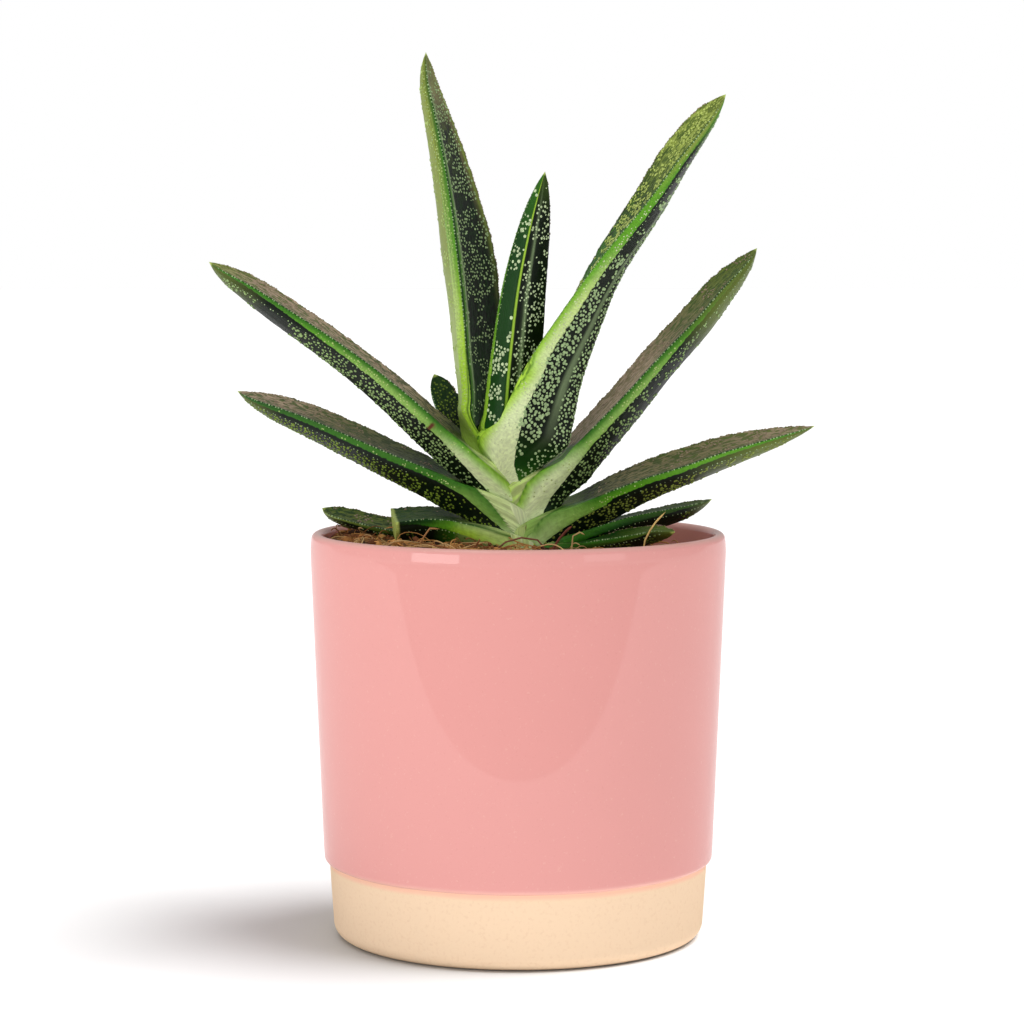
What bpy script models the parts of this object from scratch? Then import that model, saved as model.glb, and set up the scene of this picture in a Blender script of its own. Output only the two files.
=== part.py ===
"""A young gasteria growing in coir soil in a round glazed clay pot.

The pot's axis is Z and its underside lies on z = 0. The plant spreads its leaves in two
ranks, to -X (left) and +X (right), and its front is -Y. Lengths are in metres; the leaf
tables are in millimetres and are scaled by MM.
"""

import math

import bmesh
import bpy
import numpy as np

MM = 0.001

# Pot: a slip-cast cup, glazed above a bare clay foot.
POT_HEIGHT = 131.2 * MM
RIM_RADIUS = 67.5 * MM
GLAZE_END_RADIUS = 63.2 * MM
GLAZE_END_HEIGHT = 24.6 * MM
GLAZE_STEP = 1.5 * MM
FOOT_RADIUS = 60.2 * MM
FOOT_ROUNDING = 4.5 * MM
WALL = 3.8 * MM
POT_FLOOR = 6.0 * MM
POT_STEPS = 60

# Soil: fills the pot to just under the rim and falls away to the right.
SOIL_LEVEL = 126.0 * MM
SOIL_FALL = 0.045
SOIL_RIGHT_DIP = 4.0 * MM
SOIL_LUMP = 0.9 * MM
SOIL_STEPS = 36
SOIL_RINGS = 7
CLEARANCE = 0.35 * MM

# Stem: a short crown that leans left as it rises.
STEM_FOOT = 100.0 * MM
STEM_TOP = 165.0 * MM
STEM_STEPS = 18
STEM_SHARE = 0.82
CROWN_BASE_X = 2.2 * MM
CROWN_BASE_Z = 126.0 * MM
CROWN_LEAN = 0.15
CROWN_BEND = 6.0

# Leaf: stations along it, and the form of its section as shares of the half width.
LEAF_STATIONS = 26
CHANNEL_SHARE = 0.10
MARGIN_SHARE = 0.40
KEEL_FLAT = 0.13
FACE_BULGE = 0.07

# Sheath: the leaf's foot, a curved wall that clasps the crown and is thickest at its back.
SHEATH_EDGE = 0.9 * MM
SHEATH_END = 1.5 * MM
SHEATH_BAND_SHARE = 0.85

# Each leaf: its rank, the turn of its foot about the crown (degrees, to the front), the angle
# its sheath clasps to each side, the sheath's height and inner radius, how far its edges hang and
# its wall drops below that, how much thicker its back is, and its length. Then the blade: path,
# half width, roll (degrees) and
# keel depth (a share of the half width), each at foot, middle and tip, the tip's taper and the
# keel's offset.
LEAVES = {
    "leaf_centre": {
        "rank": "right", "turn": 55, "clasp": 100,
        "foot": 160, "ring": 3.0, "hang": 2, "drop": 8, "back": 5.5, "sheath": 10,
        "path": [(-4.5, 0, 158), (-3, 0, 168), (-1.6, -1.5, 182), (0, -4, 196), (2, -6, 212),
                 (4.6, -7.5, 227), (8.5, -9, 247)],
        "width": (9.4, 7.7, 4.9), "roll": (-74, -80, -80), "depth": (1.05, 1.05, 1.0),
        "taper": 10, "keel": 0.42,
    },
    "leaf_tall_left": {
        "rank": "left", "turn": 25, "clasp": 100,
        "foot": 157, "ring": 3.7, "hang": 3, "drop": 8, "back": 5.5, "sheath": 12,
        "path": [(-12, -1, 158), (-9.5, 1, 172), (-10.6, 3.5, 189), (-11.8, 5.3, 205),
                 (-14, 7.3, 224), (-18.6, 9.5, 245), (-24, 11.7, 265), (-27.5, 13, 276), (-30, 14, 286.3)],
        "width": (9.0, 9.6, 5.4), "roll": (42, 40, 14), "depth": (1.2, 1.4, 0.8),
        "taper": 6, "keel": 0.1,
    },
    "leaf_tall_right": {
        "rank": "right", "turn": 25, "clasp": 122,
        "foot": 164, "ring": 4.5, "hang": 6, "drop": 16, "back": 5.5, "sheath": 12,
        "path": [(-6, -2, 156), (-0.7, -3, 170.3), (4.3, -4.5, 183.7), (13.4, -6, 200.7),
                 (25.3, -7.5, 220.2), (38.1, -9, 237.7), (50.5, -10.5, 255.5), (59, -11.3, 265),
                 (65.7, -12, 271.2)],
        "width": (12.0, 9.4, 7.6), "roll": (-30, 4, 36), "depth": (1.9, 1.1, 0.95),
        "taper": 9, "keel": -0.1,
    },
    "leaf_rear_small": {
        "rank": "left", "turn": -60, "clasp": 60,
        "foot": 148, "ring": 5.6, "hang": 2, "drop": 6, "back": 2.5, "sheath": 10,
        "path": [(-13, 8, 150), (-16, 9.5, 158), (-20, 11.5, 166), (-24, 16, 174.5), (-27.7, 20, 181.6)],
        "width": (5.2, 4.8, 4.4), "roll": (60, 68, 72), "depth": (1.0, 1.0, 1.0),
        "taper": 3.5, "keel": 0.0,
    },
    "leaf_upper_left": {
        "rank": "left", "turn": 0, "clasp": 112,
        "foot": 154.5, "ring": 5.6, "hang": 7, "drop": 12, "back": 5.5, "sheath": 12,
        "path": [(-9, -1.5, 153), (-17, -1, 161.5), (-27, -2.3, 170), (-36, -3.6, 178), (-53, -6, 191.3),
                 (-73, -8.7, 205), (-85, -10.3, 212.5), (-98.4, -12, 218.3)],
        "width": (9.8, 8.4, 7.4), "roll": (4, 7, 14), "depth": (1.3, 1.1, 1.0),
        "taper": 8, "keel": 0.1,
    },
    "leaf_upper_right": {
        "rank": "right", "turn": 0, "clasp": 122,
        "foot": 149, "ring": 6.8, "hang": 7, "drop": 13, "back": 5.5, "sheath": 12,
        "path": [(6, 0, 146), (12, 0, 154.8), (24, 0, 168), (32.5, 1, 177), (43.3, 3.8, 189),
                 (54.5, 6.6, 200.5), (65, 9.2, 212), (77.8, 12, 222.9)],
        "width": (10.0, 8.8, 7.8), "roll": (6, 14, 22), "depth": (1.35, 1.12, 1.05),
        "taper": 9, "keel": 0.1,
    },
    "leaf_middle_left": {
        "rank": "left", "turn": 0, "clasp": 118,
        "foot": 143, "ring": 8.0, "hang": 6, "drop": 12, "back": 5.5, "sheath": 12,
        "path": [(-10, 0, 141), (-17, 0, 147.5), (-27.4, 1, 152.9), (-39.5, 3, 158), (-54, 6, 164.3),
                 (-68, 9, 170), (-79, 11, 173.4), (-92, 14, 176.2)],
        "width": (9.4, 8.6, 7.8), "roll": (4, 13, 16), "depth": (1.3, 1.12, 1.0),
        "taper": 9, "keel": 0.1,
    },
    "leaf_middle_right": {
        "rank": "right", "turn": 0, "clasp": 108,
        "foot": 136.5, "ring": 9.2, "hang": 5, "drop": 12, "back": 5.5, "sheath": 12,
        "path": [(10, 0, 136.4), (20, -1.5, 142.4), (30, -4.5, 147.5), (41, -7.5, 152.2), (52.5, -8.5, 156),
                 (64, -9.5, 159.8), (79, -10.7, 163.4), (94.7, -12, 166.1)],
        "width": (9.2, 8.8, 8.0), "roll": (4, 18, 18), "depth": (1.35, 1.12, 1.1),
        "taper": 17, "keel": 0.1,
    },
    "leaf_cut": {
        "rank": "left", "turn": 0, "clasp": 112,
        "foot": 133, "ring": 10.4, "hang": 5, "drop": 8, "back": 5.5, "sheath": 10,
        "path": [(-11, 0, 132.8), (-20, -1.5, 136.6), (-30, -3.5, 137.8), (-40.4, -4.8, 137)],
        "width": (9.4, 9.0, 8.6), "roll": (4, 8, 12), "depth": (1.35, 1.2, 1.05),
        "taper": 0, "keel": 0.1,
    },
    "leaf_low_right": {
        "rank": "right", "turn": 0, "clasp": 36,
        "foot": 129.5, "ring": 11.4, "hang": 2, "drop": 4, "back": 1.5, "sheath": 10,
        "path": [(12, -2.5, 128.5), (21.6, -2, 132.3), (32.3, 0, 135.6), (44.8, 3.3, 138.2), (54, 5.5, 139.8),
                 (63.3, 8, 141.2)],
        "width": (6.8, 6.6, 5.8), "roll": (0, -1, 6), "depth": (1.05, 1.05, 1.05),
        "taper": 7, "keel": 0.1,
    },
    "leaf_low_left": {
        "rank": "left", "turn": -25, "clasp": 23,
        "foot": 129, "ring": 11.6, "hang": 1, "drop": 3, "back": 1.5, "sheath": 10,
        "path": [(-11, 5, 128), (-20, 4, 130), (-30, 4.5, 131.5), (-43, 7.5, 133.4), (-56, 12.6, 136),
                 (-64.6, 16, 137.6)],
        "width": (4.6, 4.8, 4.4), "roll": (18, 20, 24), "depth": (1.05, 1.05, 1.05),
        "taper": 3, "keel": 0.0,
    },
    "leaf_low_front": {
        "rank": "right", "turn": 40, "clasp": 23,
        "foot": 128.5, "ring": 12.4, "hang": 1, "drop": 3, "back": 1.5, "sheath": 8,
        "path": [(12, -8, 128), (20, -9, 129.3), (29, -11, 131), (38, -17, 133), (44, -22.5, 134),
                 (49.3, -28, 133.5)],
        "width": (4.8, 5.4, 4.8), "roll": (4, 6, 8), "depth": (1.05, 1.05, 1.05),
        "taper": 5, "keel": 0.0,
    },
}

# From the outermost leaf inwards: an outer leaf keeps its form, and an inner one gives way to it.
OUTER_TO_INNER = (
    "leaf_low_front", "leaf_low_right", "leaf_cut", "leaf_low_left", "leaf_middle_right",
    "leaf_middle_left", "leaf_upper_right", "leaf_upper_left", "leaf_tall_right",
    "leaf_centre", "leaf_tall_left", "leaf_rear_small",
)

MATERIALS = {
    # name: (colour, roughness)
    "pink_glaze": ((0.83, 0.37, 0.34), 0.15),
    "bare_clay": ((0.90, 0.68, 0.48), 0.85),
    "coir_soil": ((0.22, 0.11, 0.05), 0.95),
    "crown_tissue": ((0.62, 0.70, 0.40), 0.55),
    "leaf_skin": ((0.06, 0.16, 0.03), 0.45),
}


def clear_scene():
    for obj in list(bpy.data.objects):
        bpy.data.objects.remove(obj)


def make_materials():
    """One Principled material for each finish."""
    made = {}
    for name, (colour, roughness) in MATERIALS.items():
        material = bpy.data.materials.new(name)
        material.use_nodes = True
        shader = material.node_tree.nodes["Principled BSDF"]
        shader.inputs["Base Color"].default_value = (*colour, 1.0)
        shader.inputs["Roughness"].default_value = roughness
        made[name] = material
    return made


def new_object(name, mesh, collection, *materials):
    obj = bpy.data.objects.new(name, mesh)
    collection.objects.link(obj)
    for material in materials:
        mesh.materials.append(material)
    return obj


def close_end(mesh_data, row):
    """Fills the end of a loft with a strip of faces from side to side, so a curved end stays thin."""
    first = 0
    last = len(row) - 1
    while last - first > 2:
        mesh_data.faces.new((row[first], row[first + 1], row[last - 1], row[last]))
        first += 1
        last -= 1
    if last - first == 2:
        mesh_data.faces.new((row[first], row[first + 1], row[last]))


def loft(name, rings, close_ends=(True, True)):
    """A closed mesh through rings of equally many points; a ring may shrink to one point.

    rings has the shape (stations, points, 3).
    """
    mesh_data = bmesh.new()
    rows = [[mesh_data.verts.new(point) for point in ring] for ring in rings]
    count = len(rows[0])
    for lower, upper in zip(rows, rows[1:]):
        for i in range(count):
            j = (i + 1) % count
            mesh_data.faces.new((lower[i], lower[j], upper[j], upper[i]))
    if close_ends[0]:
        close_end(mesh_data, rows[0])
    if close_ends[1]:
        close_end(mesh_data, rows[-1])
    bmesh.ops.remove_doubles(mesh_data, verts=mesh_data.verts, dist=1e-6)
    bmesh.ops.recalc_face_normals(mesh_data, faces=mesh_data.faces)
    bmesh.ops.triangulate(mesh_data, faces=mesh_data.faces)
    mesh = bpy.data.meshes.new(name)
    mesh_data.to_mesh(mesh)
    mesh_data.free()
    return mesh


def outer_radius(height):
    """The pot's glazed outside: a straight line from the glaze's end to the rim."""
    share = (height - GLAZE_END_HEIGHT) / (POT_HEIGHT - GLAZE_END_HEIGHT)
    return GLAZE_END_RADIUS + share * (RIM_RADIUS - GLAZE_END_RADIUS)


def inner_radius(height):
    return outer_radius(height) - WALL


def arc(centre, radius, start, end, count):
    """Points on an arc in the (r, z) plane; angles in degrees."""
    for i in range(count):
        angle = math.radians(start + (end - start) * i / (count - 1))
        yield centre[0] + radius * math.cos(angle), centre[1] + radius * math.sin(angle)


def pot_profile():
    """(r, z) from the middle of the inside floor, up, over the rim, and down to the middle below."""
    lip = WALL / 2
    corner = POT_FLOOR + 4 * MM
    step_height = GLAZE_END_HEIGHT
    bare_top = GLAZE_END_RADIUS - GLAZE_STEP
    points = [(0.0, POT_FLOOR), (inner_radius(corner) - 4 * MM, POT_FLOOR), (inner_radius(corner), corner)]
    lip_centre = (outer_radius(POT_HEIGHT - lip) - lip, POT_HEIGHT - lip)
    points += arc(lip_centre, lip, 180, 0, 7)
    points += arc((GLAZE_END_RADIUS - GLAZE_STEP, step_height + GLAZE_STEP), GLAZE_STEP, 0, -90, 4)
    points.append((bare_top - 0.2 * MM, step_height - 0.4 * MM))
    points += arc((FOOT_RADIUS - FOOT_ROUNDING, FOOT_ROUNDING), FOOT_ROUNDING, 0, -90, 5)
    points.append((0.0, 0.0))
    return points


def build_pot(collection, glaze, clay):
    """The pot: one turned piece whose foot is left unglazed."""
    profile = pot_profile()
    mesh = bpy.data.meshes.new("pot")
    edges = [(i, i + 1) for i in range(len(profile) - 1)]
    mesh.from_pydata([(r, 0.0, z) for r, z in profile], edges, [])
    pot = new_object("pot", mesh, collection, glaze, clay)
    screw = pot.modifiers.new("turn", "SCREW")
    screw.axis = "Z"
    screw.angle = 2 * math.pi
    screw.steps = POT_STEPS
    screw.render_steps = POT_STEPS
    screw.use_merge_vertices = True
    screw.merge_threshold = 0.00001
    turned = baked(pot)
    for face in turned.polygons:
        outside = face.normal.x * face.center.x + face.normal.y * face.center.y > 0
        below = face.normal.z < -0.9
        face.material_index = int((outside or below) and face.center.z < GLAZE_END_HEIGHT - 0.01 * MM)
        face.use_smooth = True
    turned.set_sharp_from_angle(angle=math.radians(35))
    return pot


def baked(obj):
    """Applies an object's modifiers and returns its mesh."""
    graph = bpy.context.evaluated_depsgraph_get()
    mesh = bpy.data.meshes.new_from_object(obj.evaluated_get(graph))
    obj.modifiers.clear()
    obj.data = mesh
    mesh.name = obj.name
    return mesh


def crown_axis(height):
    """The leaning axis of the crown: x at a height, with y = 0. Below the soil it is upright."""
    rise = max(height - CROWN_BASE_Z, 0.0)
    return CROWN_BASE_X - CROWN_LEAN * rise - CROWN_BEND * rise * rise


def stem_radius(height):
    """Just inside each sheath's ring: the rings of all leaves, read by the height of their feet."""
    feet = sorted((leaf["foot"] * MM, leaf["ring"] * MM) for leaf in LEAVES.values() if leaf["turn"] > -50)
    heights, rings = zip(*feet)
    ring = np.interp(height, heights, np.minimum.accumulate(rings))
    return float(ring) * STEM_SHARE - 0.4 * MM


def build_stem(collection, material):
    """The crown's core: a short thick stem that tapers as it rises out of its hole in the soil."""
    heights = np.linspace(STEM_FOOT, STEM_TOP, 14)
    angles = np.linspace(0, 2 * math.pi, STEM_STEPS, endpoint=False)
    rings = []
    for height in heights:
        radius = stem_radius(height)
        if height < CROWN_BASE_Z:
            radius *= 0.75 + 0.25 * (height - STEM_FOOT) / (CROWN_BASE_Z - STEM_FOOT)
        centre = crown_axis(height)
        rings.append([(centre + radius * math.cos(a), radius * math.sin(a), height) for a in angles])
    top = STEM_TOP + 1.5 * MM
    rings.append([(crown_axis(top), 0.0, top)] * STEM_STEPS)
    return new_object("stem", loft("stem", rings, (True, False)), collection, material)


def soil_height(x, y):
    """The soil's surface: a slope down to the right, a dip at the far right, and soft lumps."""
    lumps = np.sin(x * 310 + 1.3) * np.cos(y * 270 - 0.4) + 0.6 * np.sin(x * 150 - y * 230 + 2.0)
    dip = np.clip((x - 30 * MM) / (30 * MM), 0, 1)
    return SOIL_LEVEL - SOIL_FALL * x - SOIL_RIGHT_DIP * dip * dip * (3 - 2 * dip) + SOIL_LUMP * lumps


def build_soil(collection, material):
    """The soil: a plug that fills the pot, with a plain hole in which the stem stands."""
    angles = np.linspace(0, 2 * math.pi, SOIL_STEPS, endpoint=False)
    circle = np.stack([np.cos(angles), np.sin(angles)], axis=1)
    hole_radius = stem_radius(CROWN_BASE_Z) + CLEARANCE
    hole_floor = STEM_FOOT - CLEARANCE
    middle = np.array([CROWN_BASE_X, 0.0])
    hole = middle + hole_radius * circle
    rings = [np.column_stack([np.tile(middle, (SOIL_STEPS, 1)), np.full(SOIL_STEPS, hole_floor)])]
    rings.append(np.column_stack([hole, np.full(SOIL_STEPS, hole_floor)]))
    wall = (inner_radius(SOIL_LEVEL) - 1.2 * MM) * circle
    for i in range(SOIL_RINGS):
        place = hole + (wall - hole) * i / (SOIL_RINGS - 1)
        rings.append(np.column_stack([place, soil_height(place[:, 0], place[:, 1])]))
    for height in (SOIL_LEVEL - 10 * MM, POT_FLOOR + 6 * MM):
        side = (inner_radius(height) - CLEARANCE) * circle
        rings.append(np.column_stack([side, np.full(SOIL_STEPS, height)]))
    low = POT_FLOOR + CLEARANCE
    side = (inner_radius(low) - 5 * MM) * circle
    rings.append(np.column_stack([side, np.full(SOIL_STEPS, low)]))
    rings.append(np.tile((0.0, 0.0, low), (SOIL_STEPS, 1)))
    return new_object("soil", loft("soil", rings, (False, False)), collection, material)


def smooth_path(points, shares):
    """A smooth curve through the points (cubic between each two), read at shares of its length."""
    points = np.array(points, float) * MM
    spans = np.linalg.norm(np.diff(points, axis=0), axis=1)
    knots = np.concatenate([[0], np.cumsum(spans)])
    slopes = np.gradient(points, knots, axis=0)
    at = shares * knots[-1]
    i = np.clip(np.searchsorted(knots, at, side="right") - 1, 0, len(points) - 2)
    span = spans[i]
    u = ((at - knots[i]) / span)[:, None]
    span = span[:, None]
    start = (2 * u**3 - 3 * u**2 + 1) * points[i] + (u**3 - 2 * u**2 + u) * span * slopes[i]
    end = (3 * u**2 - 2 * u**3) * points[i + 1] + (u**3 - u**2) * span * slopes[i + 1]
    return start + end, knots[-1]


def unit(vectors):
    return vectors / np.linalg.norm(vectors, axis=-1, keepdims=True)


def section(keel):
    """A leaf's section, as columns of across, channel, margin, keel and clasp for its points.

    Across runs from +1, the near margin, to -1. The depth is a sum of channel, margin and keel
    shares: a shallow channel above, a thick upright margin on each side, and two slightly
    bulging faces that meet in the keel below. Clasp is each point's share of the sheath's turn.
    """
    bulge = FACE_BULGE
    return np.array([
        (1.0, 0.0, 0.0, 0.0, 1.0),
        (0.67, 0.6, 0.0, 0.0, 0.67),
        (0.33, 1.0, 0.0, 0.0, 0.33),
        (0.0, 1.0, 0.0, 0.0, 0.0),
        (-0.33, 1.0, 0.0, 0.0, -0.33),
        (-0.67, 0.6, 0.0, 0.0, -0.67),
        (-1.0, 0.0, 0.0, 0.0, -1.0),
        (-0.98, 0.0, 1.0, 0.0, -1.0),
        ((keel - 1) / 2 - bulge, 0.0, 0.5, 0.5 + bulge, -0.6),
        (keel - KEEL_FLAT, 0.0, 0.0, 1.0, -0.2),
        (keel + KEEL_FLAT, 0.0, 0.0, 1.0, 0.2),
        ((keel + 1) / 2 + bulge, 0.0, 0.5, 0.5 + bulge, 0.6),
        (0.98, 0.0, 1.0, 0.0, 1.0),
    ]).T


def round_crown(leaf, side, angle, radius, height):
    """Points at an angle and radius round the leaning crown, turned to the leaf's own side."""
    away = math.radians(leaf["turn"])
    out = np.array([-side * math.cos(away), -math.sin(away), 0.0])
    forward = np.array([side * math.sin(away), -math.cos(away), 0.0])
    flat = radius[:, None] * (np.cos(angle)[:, None] * out + np.sin(angle)[:, None] * forward)
    centre = np.vectorize(crown_axis)(height)
    return np.stack([centre + flat[:, 0], np.zeros_like(centre) + flat[:, 1], height], axis=-1)


def leaf_rings(leaf):
    """The leaf's sections from foot to tip.

    A blade section stands across the path, rolled about it. A sheath section is a curved wall
    round the crown, with its outside lower than its inside. Over the sheath's length one passes
    smoothly into the other. A level section below them closes the sheath.
    """
    steps = np.linspace(0, 1, LEAF_STATIONS)
    shares = steps - 0.09 * np.sin(2 * math.pi * steps)
    path, length = smooth_path(leaf["path"], shares)
    along = shares * length
    tangent = unit(np.gradient(path, axis=0))
    front = np.array([0.0, -1.0, 0.0])
    side = 1.0 if leaf["rank"] == "left" else -1.0
    near = unit(front - (tangent @ front)[:, None] * tangent)
    up = side * np.cross(tangent, near)
    roll = np.radians(np.interp(shares, (0, 0.5, 1), leaf["roll"]))[:, None]
    across = near * np.cos(roll) - up * np.sin(roll)
    normal = up * np.cos(roll) + near * np.sin(roll)

    half = np.interp(shares, (0, 0.5, 1), leaf["width"]) * MM
    if leaf["taper"]:
        half *= 1 - np.exp(-(length - along) / (leaf["taper"] * MM))
    keel_share = np.interp(shares, (0, 0.5, 1), leaf["depth"])
    place, channel, margin, keel, clasp = section(leaf["keel"])
    depth = channel * CHANNEL_SHARE + margin * MARGIN_SHARE + np.outer(keel_share, keel)
    depth *= half[:, None]
    blade = path[:, None, :] + (half[:, None] * place)[..., None] * across[:, None, :]
    blade -= depth[..., None] * normal[:, None, :]

    angle = math.radians(leaf["clasp"]) * clasp
    wall = SHEATH_EDGE + leaf["back"] * MM * np.clip(np.cos(angle), 0, None) ** 3
    radius = leaf["ring"] * MM + wall * np.clip(margin + keel, 0, 1)
    top = leaf["foot"] * MM - leaf["hang"] * MM * clasp**2
    lower = leaf["drop"] * MM * np.clip(SHEATH_BAND_SHARE * margin + keel, 0, 1)
    rise = (path[:, 2] - path[0, 2])[:, None]
    sheath = round_crown(leaf, side, angle, radius, top - lower + rise)
    bottom = round_crown(leaf, side, angle, radius, top - leaf["drop"] * MM - SHEATH_END)

    share = np.clip(along / (leaf["sheath"] * MM), 0, 1)
    blend = (share * share * (3 - 2 * share))[:, None, None]
    rings = sheath * (1 - blend) + blade * blend
    if leaf["taper"]:
        rings[-1] = path[-1]
    return np.concatenate([bottom[None], rings])


def grown(mesh, distance):
    """A copy of a mesh whose points have moved outwards by a distance."""
    copy = mesh.copy()
    count = len(copy.vertices)
    points = np.empty(count * 3)
    copy.vertices.foreach_get("co", points)
    normals = np.empty(count * 3)
    copy.vertex_normals.foreach_get("vector", normals)
    copy.vertices.foreach_set("co", points + distance * normals)
    return copy


def keep_largest_body(mesh):
    """Drops every loose scrap that a cut has left."""
    mesh_data = bmesh.new()
    mesh_data.from_mesh(mesh)
    unseen = set(mesh_data.verts)
    bodies = []
    while unseen:
        stack = [unseen.pop()]
        body = []
        while stack:
            vert = stack.pop()
            body.append(vert)
            for edge in vert.link_edges:
                other = edge.other_vert(vert)
                if other in unseen:
                    unseen.remove(other)
                    stack.append(other)
        bodies.append(body)
    bodies.sort(key=len)
    for body in bodies[:-1]:
        bmesh.ops.delete(mesh_data, geom=body, context="VERTS")
    mesh_data.to_mesh(mesh)
    mesh_data.free()


def overlaps(first, second):
    """Whether two objects' boxes meet."""
    boxes = []
    for obj in (first, second):
        corners = np.array(obj.bound_box)
        boxes.append((corners.min(axis=0), corners.max(axis=0)))
    (low_a, high_a), (low_b, high_b) = boxes
    return bool(np.all(low_a < high_b) and np.all(low_b < high_a))


def cut_by(obj, cutters):
    """Takes the cutters, each grown by the clearance, out of an object."""
    for cutter in cutters:
        if overlaps(obj, cutter):
            cut = obj.modifiers.new("cut", "BOOLEAN")
            cut.operation = "DIFFERENCE"
            # The exact solver empties some of these leaves.
            cut.solver = "MANIFOLD"
            cut.object = cutter
    if obj.modifiers:
        keep_largest_body(baked(obj))


def room_for(obj, cutters):
    """A hidden cutter: the object grown by the clearance."""
    cutter = new_object(obj.name + "_room", grown(obj.data, CLEARANCE), cutters)
    cutter.hide_render = True
    cutter.display_type = "WIRE"
    return cutter


def build_leaves(collection, cutters, skin, soil):
    """The leaves, outermost first: each gives way to the soil and to the leaves outside it."""
    blockers = [room_for(soil, cutters)]
    for name in OUTER_TO_INNER:
        rings = leaf_rings(LEAVES[name])
        cut_end = LEAVES[name]["taper"] == 0
        leaf = new_object(name, loft(name, rings, (True, cut_end)), collection, skin)
        cutter = room_for(leaf, cutters)
        cut_by(leaf, blockers)
        blockers.append(cutter)
    return blockers[1:]


def main():
    clear_scene()
    scene = bpy.context.scene
    plant = bpy.data.collections.new("gasteria_in_pot")
    cutters = bpy.data.collections.new("cutters")
    scene.collection.children.link(plant)
    scene.collection.children.link(cutters)
    finish = make_materials()
    build_pot(plant, finish["pink_glaze"], finish["bare_clay"])
    soil = build_soil(plant, finish["coir_soil"])
    stem = build_stem(plant, finish["crown_tissue"])
    blockers = build_leaves(plant, cutters, finish["leaf_skin"], soil)
    cut_by(stem, blockers)


main()
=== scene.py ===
import math

import bpy
import numpy as np
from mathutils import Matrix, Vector


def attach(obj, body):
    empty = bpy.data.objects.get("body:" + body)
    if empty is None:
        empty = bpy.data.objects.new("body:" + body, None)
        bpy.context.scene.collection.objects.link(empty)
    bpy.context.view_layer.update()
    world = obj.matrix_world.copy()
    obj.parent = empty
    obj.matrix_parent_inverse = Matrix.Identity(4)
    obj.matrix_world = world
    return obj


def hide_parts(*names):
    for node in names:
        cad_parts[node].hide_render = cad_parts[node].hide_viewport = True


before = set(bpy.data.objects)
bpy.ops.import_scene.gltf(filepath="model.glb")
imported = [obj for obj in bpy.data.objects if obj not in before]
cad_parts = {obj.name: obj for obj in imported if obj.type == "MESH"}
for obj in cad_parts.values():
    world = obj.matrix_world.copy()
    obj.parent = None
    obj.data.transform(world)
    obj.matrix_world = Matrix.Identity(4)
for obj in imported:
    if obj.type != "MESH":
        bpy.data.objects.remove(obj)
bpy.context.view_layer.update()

# The pot is one slip-cast stoneware vessel with a rolled rim. It was dipped in a glossy pink glaze,
# which stops in a soft proud edge above the bare, rounded clay foot.
POT_HEIGHT = 0.1312
RIM_RADIUS = 0.0675
GLAZE_END_RADIUS = 0.0632
GLAZE_END_HEIGHT = 0.0246
GLAZE_STEP = 0.0015
FOOT_RADIUS = 0.0602
FOOT_ROUNDING = 0.0045
RIM_ROLL = 0.0009
RIM_ROLL_HEIGHT = 0.007
WALL = 0.0038
POT_FLOOR = 0.006
FLOOR_ROUNDING = 0.004
POT_STEPS = 320
GLAZE_WAVER = 0.0006
GLAZE_ROSE = (0.82, 0.365, 0.338)
# Paler glaze: where it thins at its lower edge and in flecks, and as the painted highlight on the rim's
# lip.
GLAZE_THIN_AND_HIGHLIGHT = (0.93, 0.60, 0.50)
GLAZE_FLECK = (0.72, 0.29, 0.27)
CLAY_SAND = (0.93, 0.70, 0.49)
CLAY_GRAIN = (0.80, 0.55, 0.36)
CLAY_BLUSH = (0.95, 0.58, 0.42)


class Wire:
    """A socket in a material, so that patterns add, subtract and multiply as plain numbers do."""

    def __init__(self, tree, socket=None):
        self.tree = tree
        self.socket = socket

    def node(self, kind, settings, inputs, output=0):
        """Adds a node: makes its settings, then sets or links its sockets by name or number."""
        made = self.tree.nodes.new(kind)
        for name, value in settings.items():
            setattr(made, name, value)
        for name, value in inputs.items():
            if isinstance(value, Wire):
                self.tree.links.new(value.socket, made.inputs[name])
            else:
                made.inputs[name].default_value = value
        return Wire(self.tree, made.outputs[output])

    def maths(self, operation, first, second):
        return self.node("ShaderNodeMath", {"operation": operation}, {0: first, 1: second})

    def __add__(self, other):
        return self.maths("ADD", self, other)

    def __sub__(self, other):
        return self.maths("SUBTRACT", self, other)

    def __rsub__(self, other):
        return self.maths("SUBTRACT", other, self)

    def __mul__(self, other):
        return self.maths("MULTIPLY", self, other)

    __radd__ = __add__
    __rmul__ = __mul__

    def rise(self, low, high):
        """A smooth step from 0 at low to 1 at high."""
        return self.node(
            "ShaderNodeMapRange",
            {"interpolation_type": "SMOOTHSTEP"},
            {"Value": self, "From Min": low, "From Max": high},
        )

    def noise(self, scale, detail=2.0, distortion=0.0):
        """Soft noise from 0 to 1 on this wire's places, with scale bumps to the metre."""
        values = {"Vector": self, "Scale": scale, "Detail": detail, "Distortion": distortion}
        return self.node("ShaderNodeTexNoise", {}, values)

    def stretched(self, scale):
        """These places multiplied by one number for each axis."""
        return self.node("ShaderNodeVectorMath", {"operation": "MULTIPLY"}, {0: self, 1: scale})

    def toned(self, factor):
        """This colour made lighter or darker by a number."""
        return self.node("ShaderNodeVectorMath", {"operation": "SCALE"}, {0: self, "Scale": factor})

    def mixed(self, under, upper):
        """The under colour where this mask is 0 and the upper colour where it is 1."""
        pair = []
        for colour in (under, upper):
            pair.append(colour if isinstance(colour, Wire) else (*colour, 1.0))
        return self.node(
            "ShaderNodeMix", {"data_type": "RGBA"}, {0: self, 6: pair[0], 7: pair[1]}, 2
        )

    def bump(self, strength, distance):
        """A Bump node that reads this wire as a height."""
        values = {"Height": self, "Strength": strength, "Distance": distance}
        return self.node("ShaderNodeBump", {}, values)


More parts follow.
